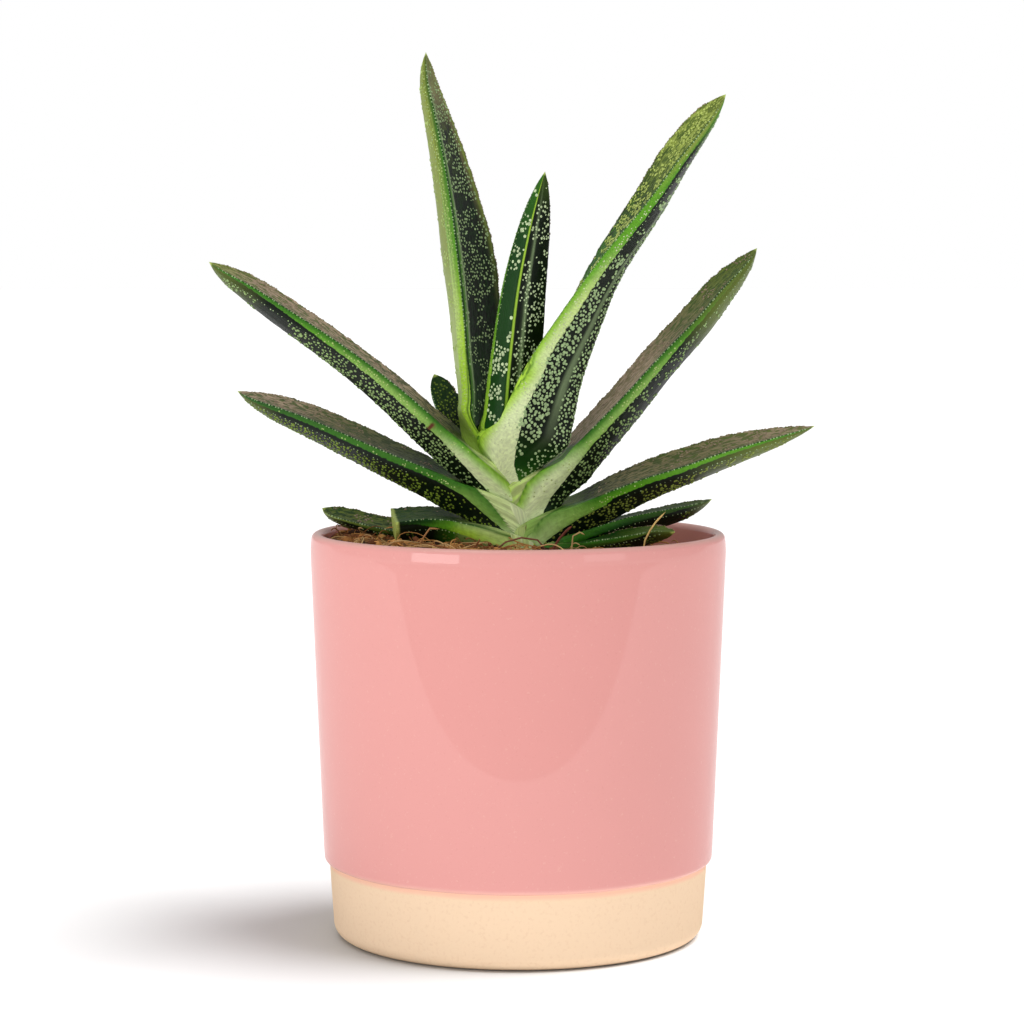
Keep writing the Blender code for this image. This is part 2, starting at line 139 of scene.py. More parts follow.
def new_material(name):
    """An empty material: its object places as a wire, and the shader whose sockets are set last."""
    made = bpy.data.materials.new(name)
    made.use_nodes = True
    start = Wire(made.node_tree)
    place = start.node("ShaderNodeTexCoord", {}, {}, 3)
    return made, place, made.node_tree.nodes["Principled BSDF"]


def set_shader(shader, **sockets):
    """Sets or links the shader's sockets. A name's underscores stand for spaces."""
    for name, value in sockets.items():
        socket = shader.inputs[name.replace("_", " ")]
        if isinstance(value, Wire):
            value.tree.links.new(value.socket, socket)
        else:
            socket.default_value = value


def put_mesh(name, points, faces, material):
    """An object at the origin, from an array of points and a list of arrays of faces."""
    mesh = bpy.data.meshes.new(name)
    corners = np.concatenate([part.ravel() for part in faces]).astype(np.int32)
    counts = np.concatenate([np.full(len(part), part.shape[1]) for part in faces])
    starts = np.concatenate([[0], np.cumsum(counts)[:-1]]).astype(np.int32)
    mesh.vertices.add(len(points))
    mesh.vertices.foreach_set("co", np.asarray(points, np.float32).ravel())
    mesh.loops.add(len(corners))
    mesh.loops.foreach_set("vertex_index", corners)
    mesh.polygons.add(len(starts))
    mesh.polygons.foreach_set("loop_start", starts)
    mesh.polygons.foreach_set("use_smooth", np.ones(len(starts), bool))
    mesh.update(calc_edges=True)
    mesh.materials.append(material)
    made = bpy.data.objects.new(name, mesh)
    bpy.context.scene.collection.objects.link(made)
    return made


def grid_faces(rows, columns):
    """Quads between neighbours of a grid of points whose columns close into a ring."""
    row = np.arange(rows - 1)[:, None] * columns
    here = np.arange(columns)[None, :]
    after = (here + 1) % columns
    quads = [row + here, row + after, row + columns + after, row + columns + here]
    return np.stack(quads, axis=-1).reshape(-1, 4)


def arc(centre, radius, start, end, count):
    """Points on an arc in the (r, z) plane, from one angle in degrees to another."""
    angle = np.radians(np.linspace(start, end, count))
    return np.stack([centre[0] + radius * np.cos(angle), centre[1] + radius * np.sin(angle)], axis=1)


def wall_radius(height):
    """The outside's radius: a straight line to the rim, drawn in a little over its last part."""
    share = (height - GLAZE_END_HEIGHT) / (POT_HEIGHT - GLAZE_END_HEIGHT)
    roll = np.clip((height - POT_HEIGHT + RIM_ROLL_HEIGHT) / RIM_ROLL_HEIGHT, 0, 1)
    return GLAZE_END_RADIUS + share * (RIM_RADIUS - GLAZE_END_RADIUS) - RIM_ROLL * roll**2


def turned(name, profile, steps, material):
    """A profile of (r, z) points turned about Z, its first and last point each a single pole."""
    angle = np.linspace(0, 2 * math.pi, steps, endpoint=False)
    ring = profile[1:-1]
    x = ring[:, :1] * np.cos(angle)
    y = ring[:, :1] * np.sin(angle)
    z = np.repeat(ring[:, 1:], steps, axis=1)
    points = np.stack([x, y, z], axis=-1).reshape(-1, 3)
    poles = [(0, 0, profile[0, 1]), (0, 0, profile[-1, 1])]
    points = np.concatenate([points, poles])
    here = np.arange(steps)
    after = (here + 1) % steps
    last = (len(ring) - 1) * steps
    first_fan = np.stack([here, np.full(steps, len(points) - 2), after], axis=1)
    last_fan = np.stack([last + here, last + after, np.full(steps, len(points) - 1)], axis=1)
    faces = [grid_faces(len(ring), steps)[:, ::-1], first_fan[:, ::-1], last_fan[:, ::-1]]
    return put_mesh(name, points, faces, material)


glaze_fade, place, shader = new_material("glaze_over_clay")
height = place.node("ShaderNodeSeparateXYZ", {}, {0: place}, 2)
waver = height + GLAZE_WAVER * place.noise(70.0)
glazed = waver.rise(GLAZE_END_HEIGHT - 0.0001, GLAZE_END_HEIGHT + 0.0004)
edge_thin = (1.0 - waver.rise(GLAZE_END_HEIGHT + 0.0003, GLAZE_END_HEIGHT + 0.0022)) * 0.55
# The top of the rim is painted paler: partly the glaze thinning over the lip, partly a painted highlight
# along the lip.
rim_thin_and_highlight = height.rise(POT_HEIGHT - 0.0016, POT_HEIGHT) * 0.4
glaze = (edge_thin + rim_thin_and_highlight).mixed(GLAZE_ROSE, GLAZE_THIN_AND_HIGHLIGHT)
glaze = (place.noise(1500.0, 1.0).rise(0.66, 0.74) * 0.22).mixed(glaze, GLAZE_FLECK)
glaze = (place.noise(1100.0, 1.0).rise(0.68, 0.75) * 0.18).mixed(glaze, GLAZE_THIN_AND_HIGHLIGHT)
clay = (place.noise(900.0, 3.0).rise(0.5, 0.75) * 0.35).mixed(CLAY_SAND, CLAY_GRAIN)
haze = 1.0 - waver.rise(GLAZE_END_HEIGHT - 0.0022, GLAZE_END_HEIGHT - 0.0004)
clay = haze.mixed(CLAY_BLUSH, clay)
ripple = glazed * place.noise(38.0, 1.0) + (1.0 - glazed) * 0.12 * place.noise(1400.0, 3.0)
set_shader(
    shader,
    Base_Color=glazed.mixed(clay, glaze),
    Roughness=0.85 - 0.67 * glazed,
    Specular_IOR_Level=0.0,
    Coat_Weight=0.6 * glazed,
    Coat_Roughness=0.03,
    Normal=ripple.bump(0.35, 0.0012),
)
lip = WALL / 2
corner = POT_FLOOR + FLOOR_ROUNDING
inside = wall_radius(corner) - WALL
bare_radius = GLAZE_END_RADIUS - GLAZE_STEP
lip_centre = (wall_radius(POT_HEIGHT - lip) - lip, POT_HEIGHT - lip)
wall_heights = np.linspace(POT_HEIGHT - lip, GLAZE_END_HEIGHT + 0.004, 64)[1:]
profile = np.concatenate([
    [(0.0, POT_FLOOR)],
    arc((inside - FLOOR_ROUNDING, corner), FLOOR_ROUNDING, -90, 0, 6),
    arc(lip_centre, lip, 180, 0, 17),
    np.stack([wall_radius(wall_heights), wall_heights], axis=1),
    arc((bare_radius, GLAZE_END_HEIGHT + GLAZE_STEP), GLAZE_STEP, 0, -90, 9),
    [(bare_radius - 0.0002, GLAZE_END_HEIGHT - 0.0004)],
    arc((FOOT_RADIUS - FOOT_ROUNDING, FOOT_ROUNDING), FOOT_ROUNDING, 0, -90, 12),
    [(0.0, 0.0)],
])
pot = turned("pot_glazed", profile, POT_STEPS, glaze_fade)
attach(pot, "root")
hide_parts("pot")

# The soil is a packed plug of coir fibre and fines that fills the pot nearly to the rim. It was
# pressed in by hand round the roots, so its top is lumpy and falls to the right.
SOIL_LEVEL = 0.126
SOIL_FALL = 0.045
SOIL_RIGHT_DIP = 0.004
SOIL_LUMP = 0.0009
SOIL_ROUGHNESS = [(0.0014, 0.0036, 5), (0.0011, 0.0016, 6)]
SOIL_GAP = 0.00035
SOIL_STEPS = 240
COIR_GOLD = (0.45, 0.21, 0.07)
COIR_BROWN = (0.16, 0.075, 0.03)
COIR_DARK = (0.035, 0.018, 0.01)


def drift(x, y, seed):
    """Smooth random hills from 0 to 1: a random height at each whole point, blended between them."""
    table = np.random.default_rng(seed).random((64, 64))
    left = np.floor(x).astype(int)
    low = np.floor(y).astype(int)
    u = x - left
    v = y - low
    u = u * u * (3 - 2 * u)
    v = v * v * (3 - 2 * v)
    left, low, right, high = left % 64, low % 64, (left + 1) % 64, (low + 1) % 64
    front = table[left, low] * (1 - u) + table[right, low] * u
    back = table[left, high] * (1 - u) + table[right, high] * u
    return front * (1 - v) + back * v


def soil_height(x, y):
    """The soil's surface: a slope down to the right, a dip at the far right, and soft lumps."""
    lumps = np.sin(x * 310 + 1.3) * np.cos(y * 270 - 0.4) + 0.6 * np.sin(x * 150 - y * 230 + 2.0)
    dip = np.clip((x - 0.03) / 0.03, 0, 1)
    return SOIL_LEVEL - SOIL_FALL * x - SOIL_RIGHT_DIP * dip * dip * (3 - 2 * dip) + SOIL_LUMP * lumps


coir, place, shader = new_material("coir_soil_loose")
clod = place.noise(260.0, 3.0)
coir_colour = place.noise(420.0, 4.0, 0.8).rise(0.38, 0.62).mixed(COIR_BROWN, COIR_GOLD)
coir_colour = clod.rise(0.56, 0.68).mixed(coir_colour, COIR_DARK)
set_shader(
    shader,
    Base_Color=coir_colour,
    Roughness=0.92,
    Specular_IOR_Level=0.2,
    Normal=place.noise(1300.0, 4.0).bump(0.7, 0.0006),
)
rings = np.linspace(0.0005, wall_radius(SOIL_LEVEL) - WALL - 0.0003, 60)
angle = np.linspace(0, 2 * math.pi, SOIL_STEPS, endpoint=False)
x = rings[:, None] * np.cos(angle)
y = rings[:, None] * np.sin(angle)
z = soil_height(x, y)
for rise, cell, seed in SOIL_ROUGHNESS:
    z += rise * (drift(x / cell, y / cell, seed) - 0.5)
side_heights = np.array([SOIL_LEVEL - 0.010, POT_FLOOR + 0.006, POT_FLOOR + SOIL_GAP])
side_radii = wall_radius(side_heights) - WALL - np.array([SOIL_GAP, SOIL_GAP, 0.005])
side_x = side_radii[:, None] * np.cos(angle)
side_y = side_radii[:, None] * np.sin(angle)
side_z = np.repeat(side_heights[:, None], len(angle), axis=1)
x = np.concatenate([x, side_x])
y = np.concatenate([y, side_y])
z = np.concatenate([z, side_z])
points = np.stack([x, y, z], axis=-1).reshape(-1, 3)
poles = [(0, 0, float(z[0].mean())), (0, 0, side_heights[-1])]
first = np.arange(SOIL_STEPS)
after = (first + 1) % SOIL_STEPS
last = (len(x) - 1) * SOIL_STEPS
faces = [
    grid_faces(len(x), SOIL_STEPS)[:, ::-1],
    np.stack([first, after, np.full(SOIL_STEPS, len(points))], axis=1),
    np.stack([last + after, last + first, np.full(SOIL_STEPS, len(points) + 1)], axis=1),
]
soil = put_mesh("soil_coir", np.concatenate([points, poles]), faces, coir)
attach(soil, "root")
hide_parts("soil")

# Loose crumbs of coir and bark lie on the soil. Each is a small rough lump that was torn from the
# husk; they are dropped, not fixed, and sink a little way in.
CRUMBS = 900
CRUMB_SMALLEST = 0.0006
CRUMB_LARGEST = 0.0038
CRUMB_REACH = 0.0608
CRUMB_COLOURS = np.array([
    (0.60, 0.26, 0.08), (0.22, 0.08, 0.03), (0.06, 0.025, 0.012), (0.74, 0.38, 0.12),
])


def colour_points(made, name, colours):
    """Stores one colour for each point of a mesh."""
    layer = made.data.color_attributes.new(name, "FLOAT_COLOR", "POINT")
    if colours.shape[1] == 3:
        colours = np.concatenate([colours, np.ones((len(colours), 1))], axis=1)
    layer.data.foreach_set("color", colours.astype(np.float32).ravel())


def turned_about(axes, angles):
    """Rotation matrices about unit axes: Rodrigues' formula on whole arrays."""
    x, y, z = axes.T
    zero = np.zeros_like(x)
    cross = np.stack([zero, -z, y, z, zero, -x, -y, x, zero], axis=1).reshape(-1, 3, 3)
    sine = np.sin(angles)[:, None, None]
    rest = (1 - np.cos(angles))[:, None, None]
    return np.eye(3) + sine * cross + rest * cross @ cross


husk, place, shader = new_material("coir_crumb")
crumb_tint = place.node("ShaderNodeAttribute", {"attribute_name": "tint"}, {})
set_shader(
    shader,
    Base_Color=crumb_tint.toned(0.6 + 0.8 * place.noise(900.0, 3.0)),
    Roughness=0.9,
    Specular_IOR_Level=0.2,
    Normal=place.noise(1800.0, 3.0).bump(0.6, 0.0004),
)
golden = (1 + math.sqrt(5)) / 2
lump = np.array([
    (-1, golden, 0), (1, golden, 0), (-1, -golden, 0), (1, -golden, 0),
    (0, -1, golden), (0, 1, golden), (0, -1, -golden), (0, 1, -golden),
    (golden, 0, -1), (golden, 0, 1), (-golden, 0, -1), (-golden, 0, 1),
]) / math.hypot(1, golden)
lump_faces = np.array([
    (0, 11, 5), (0, 5, 1), (0, 1, 7), (0, 7, 10), (0, 10, 11), (1, 5, 9), (5, 11, 4),
    (11, 10, 2), (10, 7, 6), (7, 1, 8), (3, 9, 4), (3, 4, 2), (3, 2, 6), (3, 6, 8),
    (3, 8, 9), (4, 9, 5), (2, 4, 11), (6, 2, 10), (8, 6, 7), (9, 8, 1),
])
draw = np.random.default_rng(11)
reach = CRUMB_REACH * np.sqrt(draw.random(CRUMBS))
turn = draw.random(CRUMBS) * 2 * math.pi
size = CRUMB_SMALLEST + (CRUMB_LARGEST - CRUMB_SMALLEST) / 2 * draw.random(CRUMBS) ** 3.2
x = reach * np.cos(turn)
y = reach * np.sin(turn)
middle = np.stack([x, y, soil_height(x, y) + 0.45 * size], axis=1)
shape = lump * draw.uniform(0.7, 1.25, (CRUMBS, 12, 1)) * size[:, None, None]
shape *= draw.uniform((0.9, 0.5, 0.4), (1.5, 1.0, 0.8), (CRUMBS, 3))[:, None, :]
axes = draw.normal(size=(CRUMBS, 3)) * (0.4, 0.4, 1.0)
axes /= np.linalg.norm(axes, axis=1, keepdims=True)
spin = turned_about(axes, draw.random(CRUMBS) * 2 * math.pi)
points = (shape @ spin.transpose(0, 2, 1) + middle[:, None, :]).reshape(-1, 3)
faces = (lump_faces[None] + 12 * np.arange(CRUMBS)[:, None, None]).reshape(-1, 3)
crumbs = put_mesh("soil_crumbs", points, [faces], husk)
tones = CRUMB_COLOURS[draw.integers(0, 4, CRUMBS)] * draw.uniform(0.7, 1.15, (CRUMBS, 1))
colour_points(crumbs, "tint", np.repeat(tones, 12, axis=0))
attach(crumbs, "root")

# Coir fibres and two dry twigs lie among the crumbs and stick up here and there. They are stiff
# hairs of the husk, a few tenths of a millimetre thick, caught by the soil at one end.
FIBRES = 620
FIBRE_POINTS = 9
FIBRE_SIDES = 5
FIBRE_REACH = 0.060
FIBRE_LIMIT = 0.0615
FIBRE_ARCH = 0.0045
FIBRE_COLOURS = np.array([(0.66, 0.32, 0.10), (0.36, 0.14, 0.05), (0.78, 0.50, 0.22)])
STANDING_FIBRES = [
    ((38.6, -30, 125), (39.8, -30, 131), (41.3, -31, 134.3), (43.2, -31, 137), (46.2, -32, 140.3)),
    ((-34, -22, 126), (-31.5, -22, 129.1), (-29.6, -23, 132), (-28, -23, 134.2), (-24.8, -22, 133.9)),
    ((16.8, -26, 125), (16.9, -26, 128.9), (17.2, -26, 132), (19.4, -26, 133.2), (21, -26, 132.4)),
    ((10, -20, 124), (11.3, -20, 128), (13.2, -20, 130.9), (15.2, -21, 133.2), (17.2, -21, 134.9)),
    ((-9, -24, 126), (-4, -25, 130), (1, -25, 131.4), (6, -24, 130.6), (9, -23, 127)),
]
STANDING_RADII = [0.0003, 0.0003, 0.00026, 0.00042, 0.0003]
STANDING_COLOURS = [
    (0.80, 0.55, 0.20), (0.50, 0.25, 0.10), (0.62, 0.42, 0.18), (0.20, 0.06, 0.04), (0.24, 0.10, 0.06),
]


def tubes(name, lines, radii, sides, material):
    """Thin closed tubes along rows of points: a ring across each, drawn in at both ends."""
    count, steps = lines.shape[:2]
    along = np.gradient(lines, axis=1)
    along /= np.linalg.norm(along, axis=2, keepdims=True)
    first = np.cross(along, (0.31, 0.17, 0.93))
    first /= np.linalg.norm(first, axis=2, keepdims=True)
    second = np.cross(along, first)
    angle = np.linspace(0, 2 * math.pi, sides, endpoint=False)
    taper = np.ones(steps)
    taper[0] = taper[-1] = 0.02
    cosine, sine = np.cos(angle)[:, None], np.sin(angle)[:, None]
    across = first[:, :, None] * cosine + second[:, :, None] * sine
    rings = lines[:, :, None] + across * (radii[:, None] * taper)[:, :, None, None]
    faces = grid_faces(steps, sides)[None] + steps * sides * np.arange(count)[:, None, None]
    ends = np.arange(sides)[None] + steps * sides * np.arange(count)[:, None]
    caps = [faces.reshape(-1, 4), ends[:, ::-1], ends + (steps - 1) * sides]
    return put_mesh(name, rings.reshape(-1, 3), caps, material)


reach = FIBRE_REACH * np.sqrt(draw.random(FIBRES))
turn = draw.random(FIBRES) * 2 * math.pi
heading = draw.random(FIBRES)[:, None] * 2 * math.pi
bend = draw.normal(0, 1.6, FIBRES)[:, None]
length = draw.uniform(0.005, 0.022, FIBRES)[:, None]
step = np.linspace(0, 1, FIBRE_POINTS)
way = heading + bend * (step - 0.5)
x = (reach * np.cos(turn))[:, None] + np.cumsum(np.cos(way), axis=1) * length / FIBRE_POINTS
y = (reach * np.sin(turn))[:, None] + np.cumsum(np.sin(way), axis=1) * length / FIBRE_POINTS
room = np.minimum(1.0, FIBRE_LIMIT / np.hypot(x, y))
x = x * room
y = y * room
arch = FIBRE_ARCH * draw.random(FIBRES)[:, None] ** 2
arch = arch * np.sin(math.pi * step * draw.uniform(0.5, 1.0, FIBRES)[:, None])
lines = np.stack([x, y, soil_height(x, y) + 0.0004 + arch], axis=-1)
standing = np.array(STANDING_FIBRES) * 0.001
count, knots = standing.shape[:2]
share = np.linspace(0, knots - 1, FIBRE_POINTS)
picked = np.stack([
    np.interp(share, range(knots), standing[i, :, k]) for i in range(count) for k in range(3)
])
lines = np.concatenate([lines, picked.reshape(count, 3, FIBRE_POINTS).transpose(0, 2, 1)])
radii = np.concatenate([draw.uniform(0.0001, 0.00024, FIBRES), STANDING_RADII])
fibres = tubes("soil_fibres", lines, radii, FIBRE_SIDES, husk)
whole = FIBRES + count
tones = FIBRE_COLOURS[draw.integers(0, 3, whole)] * draw.uniform(0.7, 1.1, (whole, 1))
tones[-count:] = STANDING_COLOURS
colour_points(fibres, "tint", np.repeat(tones, FIBRE_POINTS * FIBRE_SIDES, axis=0))
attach(fibres, "root")

# The stem is the short thick core that every leaf base clasps. It is pale, wet tissue, hidden by
# the bases, so the solid of the frame stays and only takes a better finish.
pith, place, shader = new_material("crown_pith")
set_shader(
    shader,
    Base_Color=place.noise(300.0, 2.0).mixed((0.55, 0.62, 0.30), (0.35, 0.45, 0.16)),
    Roughness=0.6,
)
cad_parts["stem"].data.materials[0] = pith

# The leaves are thick tapering straps of living tissue in two ranks. Each has a channelled upper
# face, a green margin facet on each side, and two dotted faces that meet in a pale keel line. At
# its foot a leaf thins to a sheath, which wraps the crown inside the next lower leaf.
CHANNEL_SHARE = 0.10
MARGIN_SHARE = 0.40
KEEL_FLAT = 0.13
FACE_BULGE = 0.07
CROWN_BASE = (0.0022, 0.126)
CROWN_LEAN = 0.15
CROWN_BEND = 6.0
SHEATH_EDGE = 0.0009
SHEATH_END = 0.0015
SHEATH_BAND_SHARE = 0.85
SHAPING_STATIONS = 26
LEAF_STATIONS = 210
SEEN_FROM = 0.969
SEEN_HEIGHT = 0.2143
MARGIN_WIDTH = 0.0018
UPPER_COLUMNS = 42
END_CROWDING = 0.09
RIDGE_SPREAD = 0.13
HILL_LENGTH = 0.0011
HILL_SHARE = 0.32
CROWN_PALING = 2.4
DOT_PATCH = (0.0040, 0.0026)
BAND_PATCH = (0.003, 0.002)
BAND_SPACING = 0.0010
BAND_DOT = 0.00026
UPPER_DOT_SHARE = 0.85
RIDGE_BEAD = 0.00024
FACET_BEAD = 0.00022
FAR_RIDGE_BEAD = 0.00036
RIDGE_ROW = (0.00115, 0.25, 0.97)
FACET_ROW = (0.0017, 0.3, 0.95)
FAR_RIDGE_ROW = (0.0009, 0.15, 0.99)
DOT_SIZES = (0.65, 1.3)
DOT_TONES = (0.75, 1.1)
DOME_POINTS = 13
DOME_LENGTH = 1.12
DOME_SINK = 0.45
DOME_SHOULDER = (0.8, 0.30)
DOME_RISE = 0.52
BARE_TIP = 0.003
SKIN_ROUGHNESS = 0.00011
RIDGE_ROUGHNESS = 0.0004
EDGE_CLEARANCE = 0.00035
FINE_PATCH = 0.0012
UNDER_COLUMNS = (0, 0.14, 0.29, 0.42, 0.55, 0.69, 0.84, 1)
PAINTS = {
    "cream": (216, 230, 176), "pale lime": (192, 216, 130), "soft": (140, 182, 86),
    "lime": (168, 210, 62), "fresh": (98, 164, 34), "leaf": (54, 116, 18),
    "bottle": (16, 66, 10), "night": (10, 24, 8), "soot": (24, 30, 20), "bark": (174, 152, 126),
    "drab": (126, 118, 80), "ash": (166, 166, 142), "straw": (142, 158, 68), "olive": (98, 114, 40),
    "moss": (62, 88, 24), "mint": (176, 204, 146), "sage": (158, 188, 120), "bright olive": (126, 152, 52),
    "pearl": (212, 232, 180), "butter": (198, 216, 112), "scar": (96, 50, 30),
}


def paint(name):
    """A named paint as linear light: the curve of a screen's colours undone."""
    value = np.array(PAINTS[name]) / 255
    return np.where(value <= 0.04045, value / 12.92, ((value + 0.055) / 1.055) ** 2.4)


def along_leaf(stops, share):
    """A colour at each share of the length: straight blends between paints at their stops."""
    places = [stop[0] for stop in stops]
    table = np.array([paint(stop[1]) for stop in stops])
    return np.stack([np.interp(share, places, table[:, k]) for k in range(3)], axis=-1)


def smooth(value, low, high):
    """A smooth step from 0 at low to 1 at high."""
    share = np.clip((value - low) / (high - low), 0, 1)
    return share * share * (3 - 2 * share)


def unit(vectors):
    """The same directions with a length of one."""
    return vectors / np.linalg.norm(vectors, axis=-1, keepdims=True)


def smooth_through(knots, values, at):
    """A smooth curve (cubic between each two knots) through rows of values, read at some places."""
    spans = np.diff(knots)
    slopes = np.gradient(values, knots, axis=0)
    i = np.clip(np.searchsorted(knots, at, side="right") - 1, 0, len(spans) - 1)
    one_row = (-1,) + (1,) * (values.ndim - 1)
    span = spans[i].reshape(one_row)
    u = ((at - knots[i]) / spans[i]).reshape(one_row)
    start = (2 * u**3 - 3 * u**2 + 1) * values[i] + (u**3 - 2 * u**2 + u) * span * slopes[i]
    end = (3 * u**2 - 2 * u**3) * values[i + 1] + (u**3 - u**2) * span * slopes[i + 1]
    return start + end


def smooth_path(points, shares):
    """A smooth curve through the path's points, read at shares of its length, and that length."""
    points = np.array(points, float) * 0.001
    knots = np.concatenate([[0], np.cumsum(np.linalg.norm(np.diff(points, axis=0), axis=1))])
    return smooth_through(knots, points, shares * knots[-1]), knots[-1]


def section(keel):
    """The section's corners as columns: place in the round, across, channel, margin, keel, clasp.

    The round starts at the near ridge, 0, and crosses the channelled upper face to the far ridge,
    6. It goes down the far margin facet to 7, over the far under face to the keel flat, 9 to 10,
    and back by the near under face to 12 and up the near margin facet to 13, which is 0 again.
    """
    bulge = FACE_BULGE
    corners = np.array([
        (0, 1.0, 0.0, 0.0, 0.0, 1.0),
        (1, 0.67, 0.6, 0.0, 0.0, 0.67),
        (2, 0.33, 1.0, 0.0, 0.0, 0.33),
        (3, 0.0, 1.0, 0.0, 0.0, 0.0),
        (4, -0.33, 1.0, 0.0, 0.0, -0.33),
        (5, -0.67, 0.6, 0.0, 0.0, -0.67),
        (6, -1.0, 0.0, 0.0, 0.0, -1.0),
        (7, -0.98, 0.0, 1.0, 0.0, -1.0),
        (8, (keel - 1) / 2 - bulge, 0.0, 0.5, 0.5 + bulge, -0.6),
        (9, keel - KEEL_FLAT, 0.0, 0.0, 1.0, -0.2),
        (10, keel + KEEL_FLAT, 0.0, 0.0, 1.0, 0.2),
        (11, (keel + 1) / 2 + bulge, 0.0, 0.5, 0.5 + bulge, 0.6),
        (12, 0.98, 0.0, 1.0, 0.0, 1.0),
        (13, 1.0, 0.0, 0.0, 0.0, 1.0),
    ])
    crowded = np.interp(np.linspace(0, 1, UPPER_COLUMNS + 1), UNDER_COLUMNS, range(6, 14))
    place = np.concatenate([np.linspace(0, 6, UPPER_COLUMNS + 1), crowded[1:-1]])
    columns = np.stack([np.interp(place, corners[:, 0], corners[:, k]) for k in range(1, 6)])
    for _ in range(2):
        columns = (np.roll(columns, 1, axis=1) + 2 * columns + np.roll(columns, -1, axis=1)) / 4
    return place, columns


def round_crown(turn, side, angle, radius, height):
    """Points at an angle and radius round the leaning crown, turned to the leaf's own side."""
    away = math.radians(turn)
    out = np.array([-side * math.cos(away), -math.sin(away), 0.0])
    forward = np.array([side * math.sin(away), -math.cos(away), 0.0])
    flat = radius[:, None] * (np.cos(angle)[:, None] * out + np.sin(angle)[:, None] * forward)
    rise = np.clip(height - CROWN_BASE[1], 0, None)
    centre = CROWN_BASE[0] - CROWN_LEAN * rise - CROWN_BEND * rise * rise
    return np.stack([centre + flat[:, 0], np.zeros_like(centre) + flat[:, 1], height], axis=-1)


def leaf_surface(form):
    """The leaf's skin as a grid: sections from foot to tip, each a closed ring of columns.

    A blade section stands across the path, rolled about it. A sheath section is a curved wall
    round the crown, with its outside lower than its inside. Over the sheath's length one passes
    smoothly into the other. Also returned are each column's place in the round, each section's
    way along the path, the path's length, and the skin laid out straight. The sections are
    worked out at a few stations, and smooth curves run through them to the many of the skin.
    """
    steps = np.linspace(0, 1, SHAPING_STATIONS)
    shares = steps - END_CROWDING * np.sin(2 * math.pi * steps)
    path, length = smooth_path(form["path"], shares)
    along = shares * length
    tangent = unit(np.gradient(path, axis=0))
    front = np.array([0.0, -1.0, 0.0])
    side = 1.0 if form["rank"] == "left" else -1.0
    near = unit(front - (tangent @ front)[:, None] * tangent)
    up = side * np.cross(tangent, near)
    roll = np.radians(np.interp(shares, (0, 0.5, 1), form["roll"]))[:, None]
    across = near * np.cos(roll) - up * np.sin(roll)
    normal = up * np.cos(roll) + near * np.sin(roll)

    half = np.interp(shares, (0, 0.5, 1), form["width"]) * 0.001
    if form["taper"]:
        half *= 1 - np.exp(-(length - along) / (form["taper"] * 0.001))
    keel_share = np.interp(shares, (0, 0.5, 1), form["depth"])
    place, (width, channel, margin, keel, clasp) = section(form["keel"])
    depth = channel * CHANNEL_SHARE + margin * MARGIN_SHARE + np.outer(keel_share, keel)
    depth *= half[:, None]
    blade = path[:, None, :] + (half[:, None] * width)[..., None] * across[:, None, :]
    blade -= depth[..., None] * normal[:, None, :]

    angle = math.radians(form["clasp"]) * clasp
    wall = SHEATH_EDGE + form["back"] * 0.001 * np.clip(np.cos(angle), 0, None) ** 3
    radius = form["ring"] * 0.001 + wall * np.clip(margin + keel, 0, 1)
    top = form["foot"] * 0.001 - form["hang"] * 0.001 * clasp**2
    lower = form["drop"] * 0.001 * np.clip(SHEATH_BAND_SHARE * margin + keel, 0, 1)
    rise = (path[:, 2] - path[0, 2])[:, None]
    sheath = round_crown(form["turn"], side, angle, radius, top - lower + rise)
    bottom = round_crown(form["turn"], side, angle, radius, top - form["drop"] * 0.001 - SHEATH_END)

    blend = smooth(along / (form["sheath"] * 0.001), 0, 1)[:, None, None]
    rings = sheath * (1 - blend) + blade * blend
    if form["taper"]:
        rings[-1] = path[-1]
    way = np.broadcast_to(along[:, None], depth.shape)
    laid = np.stack([half[:, None] * width, depth, way], axis=-1)
    knots = np.arange(SHAPING_STATIONS)
    fine = np.linspace(0, SHAPING_STATIONS - 1, LEAF_STATIONS)
    rings, laid, along = (smooth_through(knots, values, fine) for values in (rings, laid, along))
    if form["taper"]:
        rings[-1] = path[-1]
    return np.concatenate([bottom[None], rings]), place, along, length, laid, side


def dome_mesh(centres, outward, lengthways, sizes):
    """Low domes for pearly dots: a ring of 6 sunk in the skin, one at the shoulder, and a top."""
    sideways = np.cross(outward, lengthways)
    angle = np.linspace(0, 2 * math.pi, 6, endpoint=False)[:, None]
    spread = lengthways[:, None] * np.cos(angle) * DOME_LENGTH + sideways[:, None] * np.sin(angle)
    size = sizes[:, None, None]
    width, height = DOME_SHOULDER
    foot = centres[:, None] + size * (spread - DOME_SINK * outward[:, None])
    shoulder = centres[:, None] + size * (width * spread + height * outward[:, None])
    top = centres[:, None] + size * DOME_RISE * outward[:, None]
    points = np.concatenate([foot, shoulder, top], axis=1).reshape(-1, 3)
    here = np.arange(6)
    after = (here + 1) % 6
    start = DOME_POINTS * np.arange(len(centres))[:, None, None]
    walls = np.stack([here, after, after + 6, here + 6], axis=1) + start
    roofs = np.stack([here + 6, after + 6, np.full(6, 12)], axis=1) + start
    floors = here[::-1] + start[:, 0]
    return points, walls.reshape(-1, 4), roofs.reshape(-1, 3), floors


